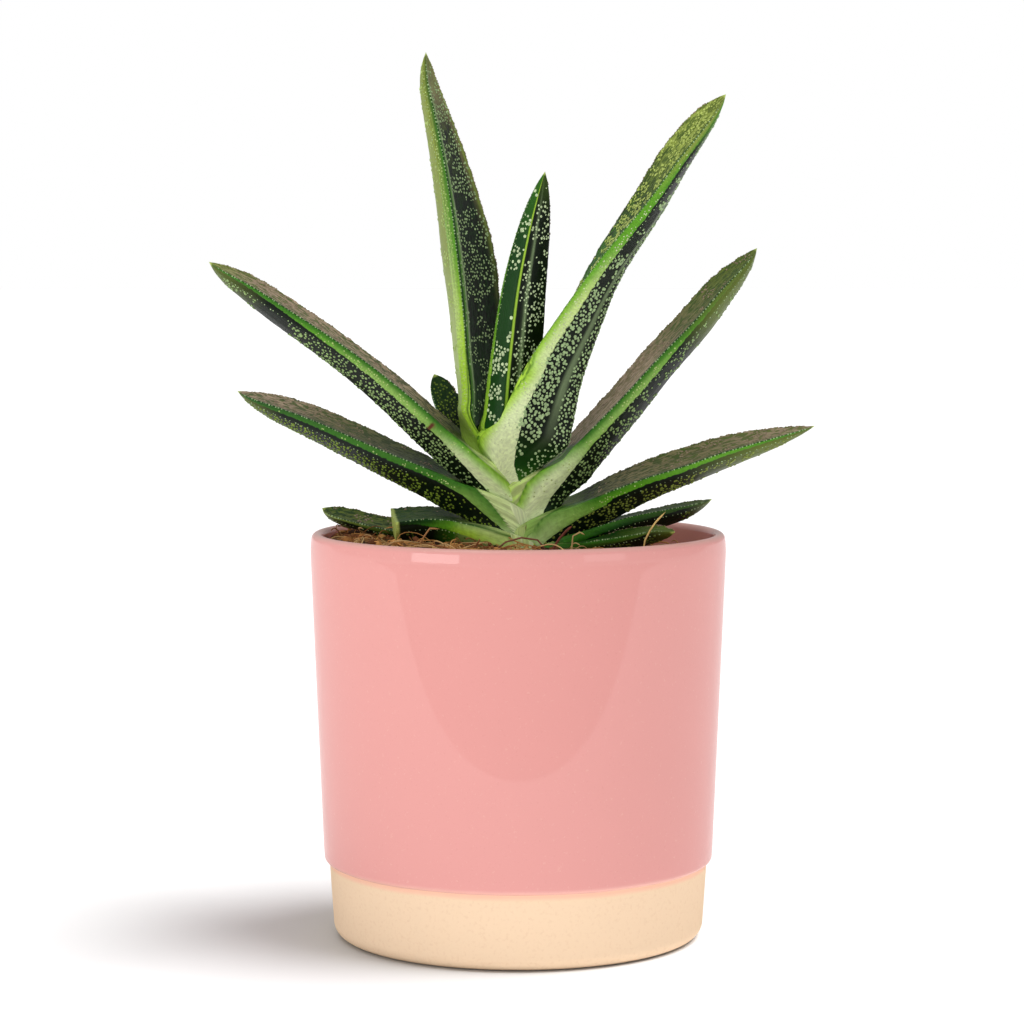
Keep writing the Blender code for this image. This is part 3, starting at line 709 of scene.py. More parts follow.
def scatter(draw, arcs, along, low, high, spacing, density, patch, seed):
    """Places for dots between two columns: a jittered grid with a share kept.

    Arcs hold each point's way round its section. A grid of one place in each cell of the spacing
    is shifted at random; a place stays where drifting hills, stretched across the leaf, lie under
    the density wanted there. Returned are rows and columns of the skin as fractions.
    """
    length = along[-1]
    widest = float((arcs[:, high] - arcs[:, low]).max())
    down, side = np.meshgrid(np.arange(int(length / spacing)), np.arange(int(widest / spacing) + 2))
    down = down.ravel()
    side = side.ravel() + 0.5 * (down % 2)
    way = (down + draw.uniform(0.1, 0.9, len(down))) * spacing
    off = (side + draw.uniform(-0.36, 0.36, len(down)) - widest / spacing / 2 - 0.5) * spacing
    row = np.interp(way, along, np.arange(len(along)))
    nearest = np.round(row).astype(int)
    lefts = arcs[nearest, low]
    rights = arcs[nearest, high]
    target = (lefts + rights) / 2 + off
    inside = (target > lefts + EDGE_CLEARANCE) & (target < rights - EDGE_CLEARANCE)
    hills = drift(off / patch[0], way / patch[1], seed) * 0.75
    hills = hills + drift(off / FINE_PATCH, way / FINE_PATCH, seed + 1) * 0.25
    keep = inside & (hills < np.interp(way / length, *zip(*density)))
    row, target, nearest = row[keep], target[keep], nearest[keep]
    strip = arcs[nearest, low : high + 1]
    count = np.clip((strip < target[:, None]).sum(axis=1), 1, high - low)
    index = np.arange(len(count))
    before = strip[index, count - 1]
    column = low + count - 1 + (target - before) / np.maximum(strip[index, count] - before, 1e-9)
    return row, column


def line_of(draw, along, column, spacing, start, end):
    """Places in a row along one column, for the beads on a ridge or on the near margin's facet."""
    way = np.arange(start * along[-1], end * along[-1], spacing)
    way = way + draw.uniform(-0.3, 0.3, len(way)) * spacing
    return np.interp(way, along, np.arange(len(along))), column + draw.uniform(-0.3, 0.3, len(way))


def cover(under, colour, mask):
    """One colour laid over another by a mask from 0 to 1."""
    return under * (1 - mask[..., None]) + colour * mask[..., None]


def between(value, low, high, soft):
    """1 between two places and 0 outside them, with soft edges."""
    return smooth(value, low - soft, low + soft) * (1 - smooth(value, high - soft, high + soft))


def beside(line, x, z):
    """How far places lie left of a bent line of (x, z) points in mm, negative on its right."""
    line = np.array(line) * 0.001
    span = np.diff(line, axis=0)
    way = np.stack([x, z], axis=-1)[..., None, :] - line[:-1]
    share = np.clip((way * span).sum(axis=-1) / (span**2).sum(axis=-1), 0, 1)
    way = way - share[..., None] * span
    away = np.hypot(way[..., 0], way[..., 1])
    signed = np.copysign(away, span[:, 0] * way[..., 1] - span[:, 1] * way[..., 0])
    return np.take_along_axis(signed, away.argmin(axis=-1)[..., None], axis=-1)[..., 0]


def skin_colours(form, points, place, along, length):
    """The colours of each point: face, fleck and its amount, band, and how far inside the band.

    On the blade the band keeps to the near margin. Over the sheath, where the leaf wraps the
    crown, its ridge and lower edge follow two lines laid down as they are seen from the front.
    """
    spread = np.broadcast_to((along / length)[:, None], (len(along), len(place)))
    q = np.broadcast_to(place[None, :], spread.shape)
    far = smooth(form["keel_at"] - q, -0.1, 0.1)
    face = cover(along_leaf(form["under"], spread), along_leaf(form["far_under"], spread), far)
    upper = between(q, -1, 6.1, 0.05)
    middle = 13.05 - 0.33 * (1 - smooth(spread, 0.03, 0.3))
    across = np.where(q < 6.5, 13 + q * 0.35, q) - middle
    low = smooth(13 - q, 0.15, 0.85) * (q > 11)
    reach = np.interp(spread, *zip(*form["band_edge"]))
    near_side = np.where(q > 9.5, q - 13 + reach, 0.1 - q)
    far_side = np.minimum(q - 5.95, 6 + reach - q)
    edge = np.maximum(near_side, far_side)
    if form["crown_fade"]:
        nearer = SEEN_FROM / (SEEN_FROM + points[..., 1])
        x = points[..., 0] * nearer
        z = SEEN_HEIGHT + (points[..., 2] - SEEN_HEIGHT) * nearer
        start, end = np.array(form["crown_fade"]) * 0.001
        crown = 1 - smooth(along, start, end)[:, None]
        over_ridge = beside(form["crown_ridge"], x, z) / MARGIN_WIDTH
        over_edge = beside(form["crown_edge"], x, z) / MARGIN_WIDTH
        across = across + (over_ridge - across) * crown
        low = low + (smooth(-over_ridge, 0.1, CROWN_PALING) - low) * crown
        edge = edge + (np.minimum(0.05 - over_ridge, over_edge) - edge) * crown
        upper = np.maximum(upper, crown * smooth(over_ridge, -0.05, 0.05))
    face = cover(face, along_leaf(form["upper"], spread), upper)
    fleck = np.zeros((*spread.shape, 4))
    fleck[..., :3] = cover(face, along_leaf(form["upper_fleck"], spread), upper)
    fleck[..., 3] = upper * form["fleck_amount"]

    band = cover(along_leaf(form["band"], spread), along_leaf(form["band_low"], spread), low)
    stripes = 0.5 + 0.5 * np.cos(2 * math.pi * 4 * q)
    band *= 1 - (form["stripes"] * stripes * smooth(spread, 0.25, 0.5))[..., None]
    band = cover(band, along_leaf(form["far_band"], spread), (q > 3) & (q < 9.5))
    ridge = np.exp(-((across / RIDGE_SPREAD) ** 2))
    lines = [(ridge, along_leaf(form["ridge"], spread), form["ridge_amount"])]
    for q_line, wide, name, amount in form["lines"]:
        lines.append((np.exp(-(((q - q_line) / wide) ** 2)), paint(name), amount))
    half, name = form["keel_line"]
    keel = between(q, form["keel_at"] - half, form["keel_at"] + half, 0.08)
    lines.append((keel, paint(name), [(0.05, 0), (0.2, 1)]))
    tip = smooth(spread, 1 - 0.0015 / length, 1 - 0.0005 / length)
    lines.append((tip, paint("butter"), [(0, 1)]))
    for mask, colour, amount in lines:
        mask = mask * np.interp(spread, *zip(*amount))
        face = cover(face, colour, mask)
        band = cover(band, colour, mask)
        fleck[..., 3] *= 1 - mask
    return face, fleck, band, edge


def spotted(points, face, fleck, band, spots):
    """Small dark marks on the skin: each spot is a place, a radius and a paint."""
    for x, z, radius, name in spots:
        away = np.hypot(points[..., 0] - x * 0.001, points[..., 2] - z * 0.001)
        mark = (1 - smooth(away, radius * 0.0005, radius * 0.001)) * (points[..., 1] < 0)
        face = cover(face, paint(name), mark)
        band = cover(band, paint(name), mark)
        fleck[..., 3] *= 1 - mark
    return face, fleck, band


skin, place, shader = new_material("leaf_skin_living")
tint = place.node("ShaderNodeAttribute", {"attribute_name": "tint"}, {})
fleck = place.node("ShaderNodeAttribute", {"attribute_name": "fleck"}, {})
fleck_amount = place.node("ShaderNodeAttribute", {"attribute_name": "fleck"}, {}, 3)
band = place.node("ShaderNodeAttribute", {"attribute_name": "band"}, {})
edge = place.node("ShaderNodeAttribute", {"attribute_name": "edge"}, {}, 2)
laid = place.node("ShaderNodeAttribute", {"attribute_name": "laid"}, {}, 1)
blotch = laid.stretched((1.0, 1.0, 0.4)).noise(1050.0, 3.0, 0.3).rise(0.46, 0.56)
streak = laid.stretched((1.0, 1.0, 0.07)).noise(1900.0, 2.0)
grain = laid.noise(1700.0, 2.0)
wrinkle = laid.stretched((1.0, 1.0, 2.5)).noise(800.0, 2.0)
on_band = (edge + 0.25 * laid.noise(900.0, 1.0) - 0.125).rise(-0.04, 0.04)
rough = streak.rise(0.3, 0.7) * fleck_amount
tone = 0.55 + 0.3 * streak + 0.35 * grain + 0.45 * rough
face = (blotch * fleck_amount).mixed(tint, fleck).toned(tone)
margin = band.toned(0.5 + 0.72 * wrinkle + 0.34 * grain)
set_shader(
    shader,
    Base_Color=on_band.mixed(face, margin),
    Roughness=0.32 + 0.22 * grain + 0.15 * fleck_amount,
    Specular_IOR_Level=0.22,
    Normal=(streak + grain * 0.8 + blotch * fleck_amount + wrinkle * on_band).bump(0.5, 0.00025),
)


DARK_UNDER = [(0, "bottle"), (0.05, "night"), (0.8, "night"), (1, "olive")]

# A leaf's form. Places, foot, ring, hang, drop, back, sheath, taper and width are millimetres;
# turn, clasp and roll are degrees; depth and keel are shares of half the width. Every list that
# pairs a share of the length with a paint or an amount is read between its stops.
PLAIN_LEAF = {
    "turn": 0,
    "back": 5.5,
    "sheath": 12,
    "keel": 0.1,
    "crown_fade": None,
    "upper": [
        (0, "lime"), (0.05, "pale lime"), (0.12, "moss"), (0.22, "drab"), (0.35, "bark"), (0.85, "bark"),
        (1, "straw"),
    ],
    "upper_fleck": [(0, "pale lime"), (0.15, "soot"), (0.5, "moss"), (1, "olive")],
    "fleck_amount": 0.85,
    "band": [(0, "lime"), (0.1, "fresh"), (0.2, "leaf")],
    "band_low": [(0.08, "cream"), (0.2, "soft"), (0.45, "soft"), (0.65, "fresh"), (1, "leaf")],
    "stripes": 0.12,
    "far_band": [(0, "pale lime"), (0.3, "leaf"), (0.7, "drab"), (1, "olive")],
    "band_edge": [(0, 1.1), (0.3, 1.05), (0.6, 0.8), (0.8, 0.45), (1, 0.3)],
    "ridge": [(0, "leaf"), (0.3, "bottle")],
    "ridge_amount": [(0, 0.75), (0.15, 0.95), (0.85, 0.95), (1, 0.3)],
    "lines": [],
    "under": DARK_UNDER,
    "far_under": DARK_UNDER,
    "keel_line": (0.22, "moss"),
    "keel_at": 9.5,
    "dots": [(0.12, 0.7), (0.45, 0.62), (0.7, 0.45), (1, 0.5)],
    "far_dots": [(0, 0.6), (0.15, 0.75), (0.5, 0.7), (1, 0.6)],
    "upper_dots": [(0, 0.0), (0.15, 0.2), (1, 0.45)],
    "band_dots": [(0, 0.3), (0.3, 0.5), (1, 0.4)],
    "spacing": 0.00125,
    "dot": 0.00042,
    "far_dot": 0.0004,
    "dot_paint": "sage",
    "upper_dot_paint": "bark",
    "band_dot_paint": "pale lime",
    "bare_foot": 0.0005,
    "spots": [],
}


def leaf_dots(form, draw, arcs, along, place, seed):
    """The dots in groups: places, size, paint, and 1 inside the band, -1 outside it, 0 on either."""
    far_ridge, far_margin, near_margin, keel = (
        int(np.argmin(np.abs(place - q))) for q in (6, 7, 12, form["keel_at"])
    )
    spacing = form["spacing"]
    fields = [
        (keel + 1, near_margin, spacing, form["dots"], DOT_PATCH, seed),
        (far_margin, keel - 1, spacing, form["far_dots"], DOT_PATCH, seed + 2),
        (2, far_ridge - 2, spacing, form["upper_dots"], DOT_PATCH, seed + 3),
        (near_margin - 2, len(place) - 2, BAND_SPACING, form["band_dots"], BAND_PATCH, seed + 4),
    ]
    under, far_under, upper, band = [scatter(draw, arcs, along, *field) for field in fields]
    # The ridge and facet beads are pale mint domes: partly the leaf's own tubercles, partly a painted
    # highlight for the pale glints along the ridge.
    ridge = line_of(draw, along, 0.0, *RIDGE_ROW)
    facet = line_of(draw, along, float(near_margin), *FACET_ROW)
    far_edge = line_of(draw, along, float(far_ridge), *FAR_RIDGE_ROW)
    return [
        (under, form["dot"], form["dot_paint"], -1),
        (far_under, form["far_dot"], form["dot_paint"], -1),
        (upper, form["dot"] * UPPER_DOT_SHARE, form["upper_dot_paint"], -1),
        (band, BAND_DOT, form["band_dot_paint"], 1),
        (ridge, RIDGE_BEAD, "mint", 0),
        (facet, FACET_BEAD, "mint", 0),
        (far_edge, FAR_RIDGE_BEAD, "bark", 0),
    ]


def dot_meshes(form, draw, groups, blade, outward, downways, along, length, edge):
    """Every dot of the leaf as a low dome: points, paints, and lists of faces."""
    rows, columns = edge.shape
    ring, facing, lengthways = (
        np.concatenate([grid, grid[:, :1]], axis=1) for grid in (blade, outward, downways)
    )
    points, tints, walls, roofs, floors = [], [], [], [], []
    first = 0
    for (row, column), size, dot_paint, inside in groups:
        way = np.interp(row, np.arange(rows), along)
        keep = (row < rows - 2) & (length - way > BARE_TIP) & (way > form["bare_foot"])
        row, column = row[keep], np.clip(column[keep], 0, columns - 0.01)
        i = row.astype(int)
        j = column.astype(int)
        keep = inside * edge[i, j] >= 0
        row, column, i, j = row[keep], column[keep], i[keep], j[keep]
        u = (row - i)[:, None]
        v = (column - j)[:, None]
        near = ring[i, j] * (1 - v) + ring[i, j + 1] * v
        after = ring[i + 1, j] * (1 - v) + ring[i + 1, j + 1] * v
        out = facing[i, j]
        straight = lengthways[i, j] - (lengthways[i, j] * out).sum(-1, keepdims=True) * out
        sizes = size * draw.uniform(*DOT_SIZES, len(row))
        sizes = sizes * np.interp(row, (rows - 30, rows), (1, 0.6))
        dots, wall, roof, base = dome_mesh(near * (1 - u) + after * u, out, unit(straight), sizes)
        points.append(dots)
        tones = paint(dot_paint) * draw.uniform(*DOT_TONES, (len(row), 1))
        tints.append(np.repeat(tones, DOME_POINTS, axis=0))
        walls.append(wall + first)
        roofs.append(roof + first)
        floors.append(base + first)
        first += len(dots)
    return np.concatenate(points), np.concatenate(tints), walls + roofs + floors


def skin_faces(rows, columns, pointed, side):
    """The faces of a closed skin: its grid, a cap at the foot, and a point or a cap at the end."""
    half = np.arange(1, UPPER_COLUMNS - 1)
    ladder = np.stack([half, columns - half, columns - half - 1, half + 1], axis=1)
    corners = np.array([(columns - 1, 1, 0), (UPPER_COLUMNS + 1, UPPER_COLUMNS, UPPER_COLUMNS - 1)])
    faces = [ladder, corners]
    if pointed:
        here = np.arange(columns) + (rows - 2) * columns
        tip = np.full(columns, (rows - 1) * columns)
        faces += [grid_faces(rows - 1, columns), np.stack([here, np.roll(here, -1), tip], axis=1)]
    else:
        top = (rows - 1) * columns
        faces += [grid_faces(rows, columns), (ladder + top)[:, ::-1], (corners + top)[:, ::-1]]
    faces = [np.roll(part, 1, axis=1) for part in faces]
    return [part[:, ::-1] for part in faces] if side < 0 else faces


def with_dots(grid, skin_points, dots):
    """One row for each point: the skin's values, the first row's twice, and then the dots'."""
    values = np.concatenate([grid[:1], grid])
    values = values.reshape(values.shape[0] * values.shape[1], -1)[:skin_points]
    return np.concatenate([values, dots])


def grow_leaf(name, **own):
    """One leaf: its skin, with the cut or pointed end closed, and its dots and beads as low domes."""
    form = {**PLAIN_LEAF, **own}
    seed = sum(map(ord, name))
    draw = np.random.default_rng(seed)
    points, place, along, length, laid, side = leaf_surface(form)
    blade = points[1:]
    face, fleck, band, edge = skin_colours(form, blade, place, along, length)
    face, fleck, band = spotted(blade, face, fleck, band, form["spots"])
    downways = np.gradient(blade, axis=0)
    roundways = np.roll(blade, -1, axis=1) - np.roll(blade, 1, axis=1)
    outward = side * np.cross(roundways, downways)
    outward /= np.maximum(np.linalg.norm(outward, axis=-1, keepdims=True), 1e-12)
    hills = drift(laid[..., 2] / HILL_LENGTH, (place[None, :] + 3) / HILL_SHARE, seed + 5) - 0.5
    far_ridge = np.exp(-(((place - 6) / 0.5) ** 2)) * smooth(along / length, 0.1, 0.25)[:, None]
    roughness = (SKIN_ROUGHNESS + RIDGE_ROUGHNESS * far_ridge) * smooth(length - along, 0, 0.004)[:, None]
    blade += outward * (roughness * hills)[..., None]

    seams = np.linalg.norm(np.diff(np.concatenate([blade, blade[:, :1]], axis=1), axis=1), axis=-1)
    arcs = np.concatenate([np.zeros((len(blade), 1)), np.cumsum(seams, axis=1)], axis=1)
    groups = leaf_dots(form, draw, arcs, along, place, seed)
    dots, dot_tints, dot_faces = dot_meshes(
        form, draw, groups, blade, outward, downways, along, length, edge
    )
    rows, columns = points.shape[:2]
    pointed = form["taper"] > 0
    skin_points = (rows - 1) * columns + 1 if pointed else rows * columns
    faces = skin_faces(rows, columns, pointed, side) + [part + skin_points for part in dot_faces]
    all_points = np.concatenate([points.reshape(-1, 3)[:skin_points], dots])
    made = put_mesh(name + "_skin", all_points, faces, skin)
    made.data.set_sharp_from_angle(angle=math.radians(50))
    count = len(dots)
    colour_points(made, "tint", with_dots(face, skin_points, dot_tints))
    colour_points(made, "fleck", with_dots(fleck, skin_points, np.zeros((count, 4))))
    colour_points(made, "band", with_dots(band, skin_points, np.zeros((count, 3))))
    edges = with_dots(edge, skin_points, np.full((count, 1), -1.0)).astype(np.float32)
    made.data.attributes.new("edge", "FLOAT", "POINT").data.foreach_set("value", edges.ravel())
    straight = with_dots(laid, skin_points, dots).astype(np.float32)
    layer = made.data.attributes.new("laid", "FLOAT_VECTOR", "POINT")
    layer.data.foreach_set("vector", straight.ravel())
    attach(made, "root")
    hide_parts(name)


# The lowest leaf is the oldest and smallest, at the right front. It is dark green, with hardly a
# dot, and lies out over the rim's inside.
LOW_AND_DARK = {
    "stripes": 0.4, "upper_dots": [(0, 0), (1, 0.2)], "band_dots": [(0, 0)], "dot_paint": "olive",
}
grow_leaf(
    "leaf_low_front",
    rank="right", turn=40, clasp=23, foot=128.5, ring=12.4, hang=1, drop=3, back=1.5, sheath=8,
    path=[
        (12, -8, 128), (20, -9, 129.3), (29, -11, 131), (38, -17, 133), (44, -22.5, 134),
        (49.3, -28, 133.5),
    ],
    width=(4.8, 5.4, 4.8), roll=(4, 6, 8), depth=(1.05, 1.05, 1.05), taper=5, keel=0,
    upper=[(0, "leaf"), (0.4, "bottle"), (1, "olive")],
    band=[(0.5, "leaf"), (1, "olive")], band_low=[(0, "bottle"), (0.5, "moss"), (1, "olive")],
    **LOW_AND_DARK,
)

# The low right leaf is small and dark and lies along the soil at the right. It is one of the
# oldest, deep green in its lower half and mossy toward its tip.
grow_leaf(
    "leaf_low_right",
    rank="right", clasp=36, foot=129.5, ring=11.4, hang=2, drop=4, back=1.5, sheath=10,
    path=[
        (12, -2.5, 128.5), (21.6, -2, 132.3), (32.3, 0, 135.6), (44.8, 3.3, 138.2), (54, 5.5, 139.8),
        (63.3, 8, 141.2),
    ],
    width=(6.8, 6.6, 5.8), roll=(0, -1, 6), depth=(1.05, 1.05, 1.05), taper=7,
    upper=[(0, "leaf"), (0.4, "bottle"), (1, "moss")],
    band=[(0.4, "leaf"), (1, "moss")],
    band_low=[(0, "leaf"), (0.4, "bottle"), (1, "moss")],
    **LOW_AND_DARK,
)

# The cut leaf lost its end to a knife, straight across, and the wound dried. It is cream at the
# crown and turns a deep mossy green toward the cut.
grow_leaf(
    "leaf_cut",
    rank="left", clasp=112, foot=133, ring=10.4, hang=5, drop=8, sheath=10,
    path=[(-11, 0, 132.8), (-20, -1.5, 136.6), (-30, -3.5, 137.8), (-40.4, -4.8, 137)],
    width=(9.4, 9.0, 8.6), roll=(4, 8, 12), depth=(1.35, 1.2, 1.05), taper=0,
    upper=[(0, "cream"), (0.15, "pale lime"), (0.35, "moss")],
    upper_fleck=[(0, "pale lime"), (0.3, "bottle")],
    band=[(0, "lime"), (0.2, "pale lime"), (0.4, "fresh"), (0.65, "bottle"), (1, "night")],
    band_low=[(0, "cream"), (0.25, "lime"), (0.45, "fresh"), (0.7, "leaf"), (1, "bottle")],
    under=[(0, "cream"), (0.15, "pale lime"), (0.35, "leaf"), (0.6, "night")],
    upper_dots=[(0, 0), (1, 0.3)], band_dots=[(0, 0)], dot_paint="olive", bare_foot=0.006,
    spots=[(-1.1, 130.0, 0.8, "scar")],
)

# The small leaf under the cut one lies back on the soil. It is moss green with a darker face and
# ends in a short point.
grow_leaf(
    "leaf_low_left",
    rank="left", turn=-25, clasp=23, foot=129, ring=11.6, hang=1, drop=3, back=1.5, sheath=10,
    path=[
        (-11, 5, 128), (-20, 4, 130), (-30, 4.5, 131.5), (-43, 7.5, 133.4), (-56, 12.6, 136),
        (-64.6, 16, 137.6),
    ],
    width=(4.6, 4.8, 4.4), roll=(18, 20, 24), depth=(1.05, 1.05, 1.05), taper=3, keel=0,
    upper=[(0, "moss"), (0.5, "olive")], upper_fleck=[(0, "soot"), (1, "bottle")],
    band=[(0.5, "moss"), (1, "straw")], band_low=[(0, "bottle"), (0.5, "moss")],
    band_dots=[(0, 0)], dot_paint="olive",
)

# The middle right leaf is the longest to the side and arches over a little, with a grey mottled
# face and a bright green ridge.
grow_leaf(
    "leaf_middle_right",
    rank="right", clasp=108, foot=136.5, ring=9.2, hang=5, drop=12,
    path=[
        (10, 0, 136.4), (20, -1.5, 142.4), (30, -4.5, 147.5), (41, -7.5, 152.2), (52.5, -8.5, 156),
        (64, -9.5, 159.8), (79, -10.7, 163.4), (94.7, -12, 166.1),
    ],
    width=(9.2, 8.8, 8.0), roll=(4, 18, 18), depth=(1.35, 1.12, 1.1), taper=17,
    crown_fade=(16, 24), crown_ridge=[(5.1, 131.7), (8, 135.6), (13.5, 138.9), (20, 140.8), (26.5, 142.8)],
    crown_edge=[(8.7, 127.8), (13.5, 131.4), (20, 135.6), (26.5, 138.9)],
    upper=[
        (0, "pale lime"), (0.05, "soft"), (0.14, "moss"), (0.3, "drab"), (0.6, "drab"), (1, "bark"),
    ],
    band=[(0, "soft"), (0.2, "leaf"), (0.6, "fresh"), (1, "leaf")],
    band_low=[(0, "cream"), (0.1, "soft"), (0.25, "fresh"), (1, "leaf")],
    band_edge=[(0, 1.0), (0.3, 0.75), (0.6, 0.5), (1, 0.4)],
    under=[(0, "bottle"), (0.05, "night"), (0.5, "soot"), (0.8, "olive")],
    far_dots=[(0, 0.6), (0.15, 0.75), (0.5, 0.9)], dot_paint="straw",
    spots=[(2.4, 132.9, 0.8, "scar")],
)

# The middle left leaf is the second on its side. Its face darkens from the brown tip to a deep
# green base, with yellowish dots below.
grow_leaf(
    "leaf_middle_left",
    rank="left", clasp=118, foot=143, ring=8.0, hang=6, drop=12,
    path=[
        (-10, 0, 141), (-17, 0, 147.5), (-27.4, 1, 152.9), (-39.5, 3, 158), (-54, 6, 164.3), (-68, 9, 170),
        (-79, 11, 173.4), (-92, 14, 176.2),
    ],
    width=(9.4, 8.6, 7.8), roll=(4, 13, 16), depth=(1.3, 1.12, 1.0), taper=9,
    crown_fade=(14, 20),
    crown_ridge=[(-28.6, 150.9), (-25.3, 149.3), (-14.3, 145.7), (-9.2, 140.5), (-4.9, 135)],
    crown_edge=[(-28.6, 148.6), (-25.3, 147), (-18.2, 143.1), (-7.9, 134.3), (-5.6, 132.4)],
    upper=[
        (0, "cream"), (0.1, "pale lime"), (0.16, "leaf"), (0.24, "moss"), (0.6, "drab"),
        (0.8, "bark"),
    ],
    upper_fleck=[(0, "cream"), (0.12, "pale lime"), (0.2, "soot"), (0.6, "moss")],
    band=[(0, "soft"), (0.1, "leaf"), (0.5, "leaf"), (1, "bottle")],
    band_low=[(0, "cream"), (0.07, "soft"), (0.2, "leaf")],
    band_edge=[(0, 0.8), (0.3, 0.7), (1, 0.5)],
    dots=[(0, 0.6), (0.3, 0.75), (1, 0.9)], far_dots=[(0, 0.7), (1, 0.95)], dot_paint="bright olive",
    spots=[(6.0, 139.3, 0.8, "scar")],
)

# The upper right leaf is long and a little thicker than its pair on the left. Its upper face is
# mottled grey brown and turns olive toward the tip, as its margin does.
grow_leaf(
    "leaf_upper_right",
    rank="right", clasp=122, foot=149, ring=6.8, hang=7, drop=13,
    path=[
        (6, 0, 146), (12, 0, 154.8), (24, 0, 168), (32.5, 1, 177), (43.3, 3.8, 189), (54.5, 6.6, 200.5),
        (65, 9.2, 212), (77.8, 12, 222.9),
    ],
    width=(10, 8.8, 7.8), roll=(6, 14, 22), depth=(1.35, 1.12, 1.05), taper=9,
    crown_fade=(16, 23),
    crown_ridge=[(0.2, 140.8), (2.7, 146.7), (6.4, 150.2), (9.3, 152.5), (20, 161.9), (23.2, 164.8)],
    crown_edge=[(7.4, 135.9), (10.3, 141.9), (20, 154.1), (23.2, 158)],
    upper=[
        (0, "lime"), (0.06, "pale lime"), (0.12, "bark"), (0.5, "bark"), (0.65, "drab"), (0.85, "olive"),
    ],
    upper_fleck=[(0, "pale lime"), (0.12, "drab"), (0.5, "drab"), (0.65, "moss")],
    band=[(0, "lime"), (0.1, "fresh"), (0.2, "leaf"), (0.6, "leaf"), (0.8, "olive")],
    band_edge=[(0, 1.1), (0.5, 0.95), (0.65, 0.6), (1, 0.3)],
    under=[(0, "bottle"), (0.05, "night"), (0.6, "night"), (0.75, "olive")],
    spots=[(-6.7, 144.0, 0.8, "scar")],
)

# The upper left leaf is long and straight. Its upper face is dull and brownish above a bright green
# margin, and its under face is black with dots in ragged bands across.
grow_leaf(
    "leaf_upper_left",
    rank="left", clasp=112, foot=154.5, ring=5.6, hang=7, drop=12,
    path=[
        (-9, -1.5, 153), (-17, -1, 161.5), (-27, -2.3, 170), (-36, -3.6, 178), (-53, -6, 191.3),
        (-73, -8.7, 205), (-85, -10.3, 212.5), (-98.4, -12, 218.3),
    ],
    width=(9.8, 8.4, 7.4), roll=(4, 7, 14), depth=(1.3, 1.1, 1.0), taper=8,
    crown_fade=(20, 27),
    crown_ridge=[
        (-28.5, 168.4), (-25.3, 165.8), (-17.6, 159.6), (-12.7, 155.1), (-5.3, 148.9), (-1.4, 145.4),
    ],
    crown_edge=[(-28.5, 164.2), (-25.3, 161.3), (-12.4, 147), (-6.6, 141.1)],
    dots=[(0.15, 0.8), (0.5, 0.72), (0.68, 0.65), (0.76, 0.1), (0.84, 0.4), (1, 0.5)],
    spots=[(-27.5, 166.2, 1.1, "scar"), (-28.3, 165.5, 1.0, "scar")],
)

# The tall right leaf leans right. Its near margin is a wide pale band that narrows upwards, and
# black under faces lie beyond it, each side of a pale keel line.
grow_leaf(
    "leaf_tall_right",
    rank="right", turn=25, clasp=122, foot=164, ring=4.5, hang=6, drop=16,
    path=[
        (-6, -2, 156), (-0.7, -3, 170.3), (4.3, -4.5, 183.7), (13.4, -6, 200.7), (25.3, -7.5, 220.2),
        (38.1, -9, 237.7), (50.5, -10.5, 255.5), (59, -11.3, 265), (65.7, -12, 271.2),
    ],
    width=(12, 9.4, 7.6), roll=(-30, 4, 36), depth=(1.9, 1.1, 0.95), taper=9, keel=-0.1,
    crown_fade=(28, 38), crown_ridge=[(-13, 157), (-12.1, 161.6), (-5.3, 171.4), (3, 181.9), (9.4, 191.6)],
    crown_edge=[
        (0.2, 147.3), (-1.4, 152.8), (-0.7, 158.7), (2.5, 171.6), (6.2, 178.7), (12.2, 190), (15.4, 196.4),
    ],
    upper=[(0.22, "lime"), (0.35, "leaf"), (0.5, "leaf"), (0.7, "moss"), (0.85, "straw")],
    upper_fleck=[(0, "leaf"), (0.6, "soot"), (0.85, "moss"), (1, "olive")],
    band=[(0.2, "lime"), (0.5, "fresh"), (0.7, "fresh"), (0.85, "straw")],
    band_low=[(0.15, "cream"), (0.42, "pale lime"), (0.6, "fresh"), (1, "leaf")],
    band_edge=[(0, 1.12), (0.4, 1.05), (0.8, 0.75), (1, 0.6)],
    ridge=[(0, "fresh"), (0.2, "leaf"), (1, "bottle")],
    ridge_amount=[(0, 0.2), (0.2, 0.7), (0.9, 0.9), (1, 0.3)],
    under=[(0, "leaf"), (0.04, "bottle"), (0.09, "night"), (0.85, "night"), (1, "fresh")],
    far_under=[
        (0, "leaf"), (0.04, "bottle"), (0.09, "night"), (0.8, "night"), (0.9, "drab"), (1, "olive"),
    ],
    keel_line=(0.07, "mint"), keel_at=10.75,
    dots=[(0.15, 1.0), (0.3, 0.8), (0.5, 0.55), (0.75, 0.42), (1, 0.4)],
    far_dots=[(0, 0.97), (0.5, 0.92), (1, 0.8)], upper_dots=[(0, 0.0), (0.4, 0.5), (1, 0.7)],
    spacing=0.00122, dot=0.00056, far_dot=0.00043, dot_paint="mint", upper_dot_paint="butter",
    band_dot_paint="cream", bare_foot=0.0002,
)

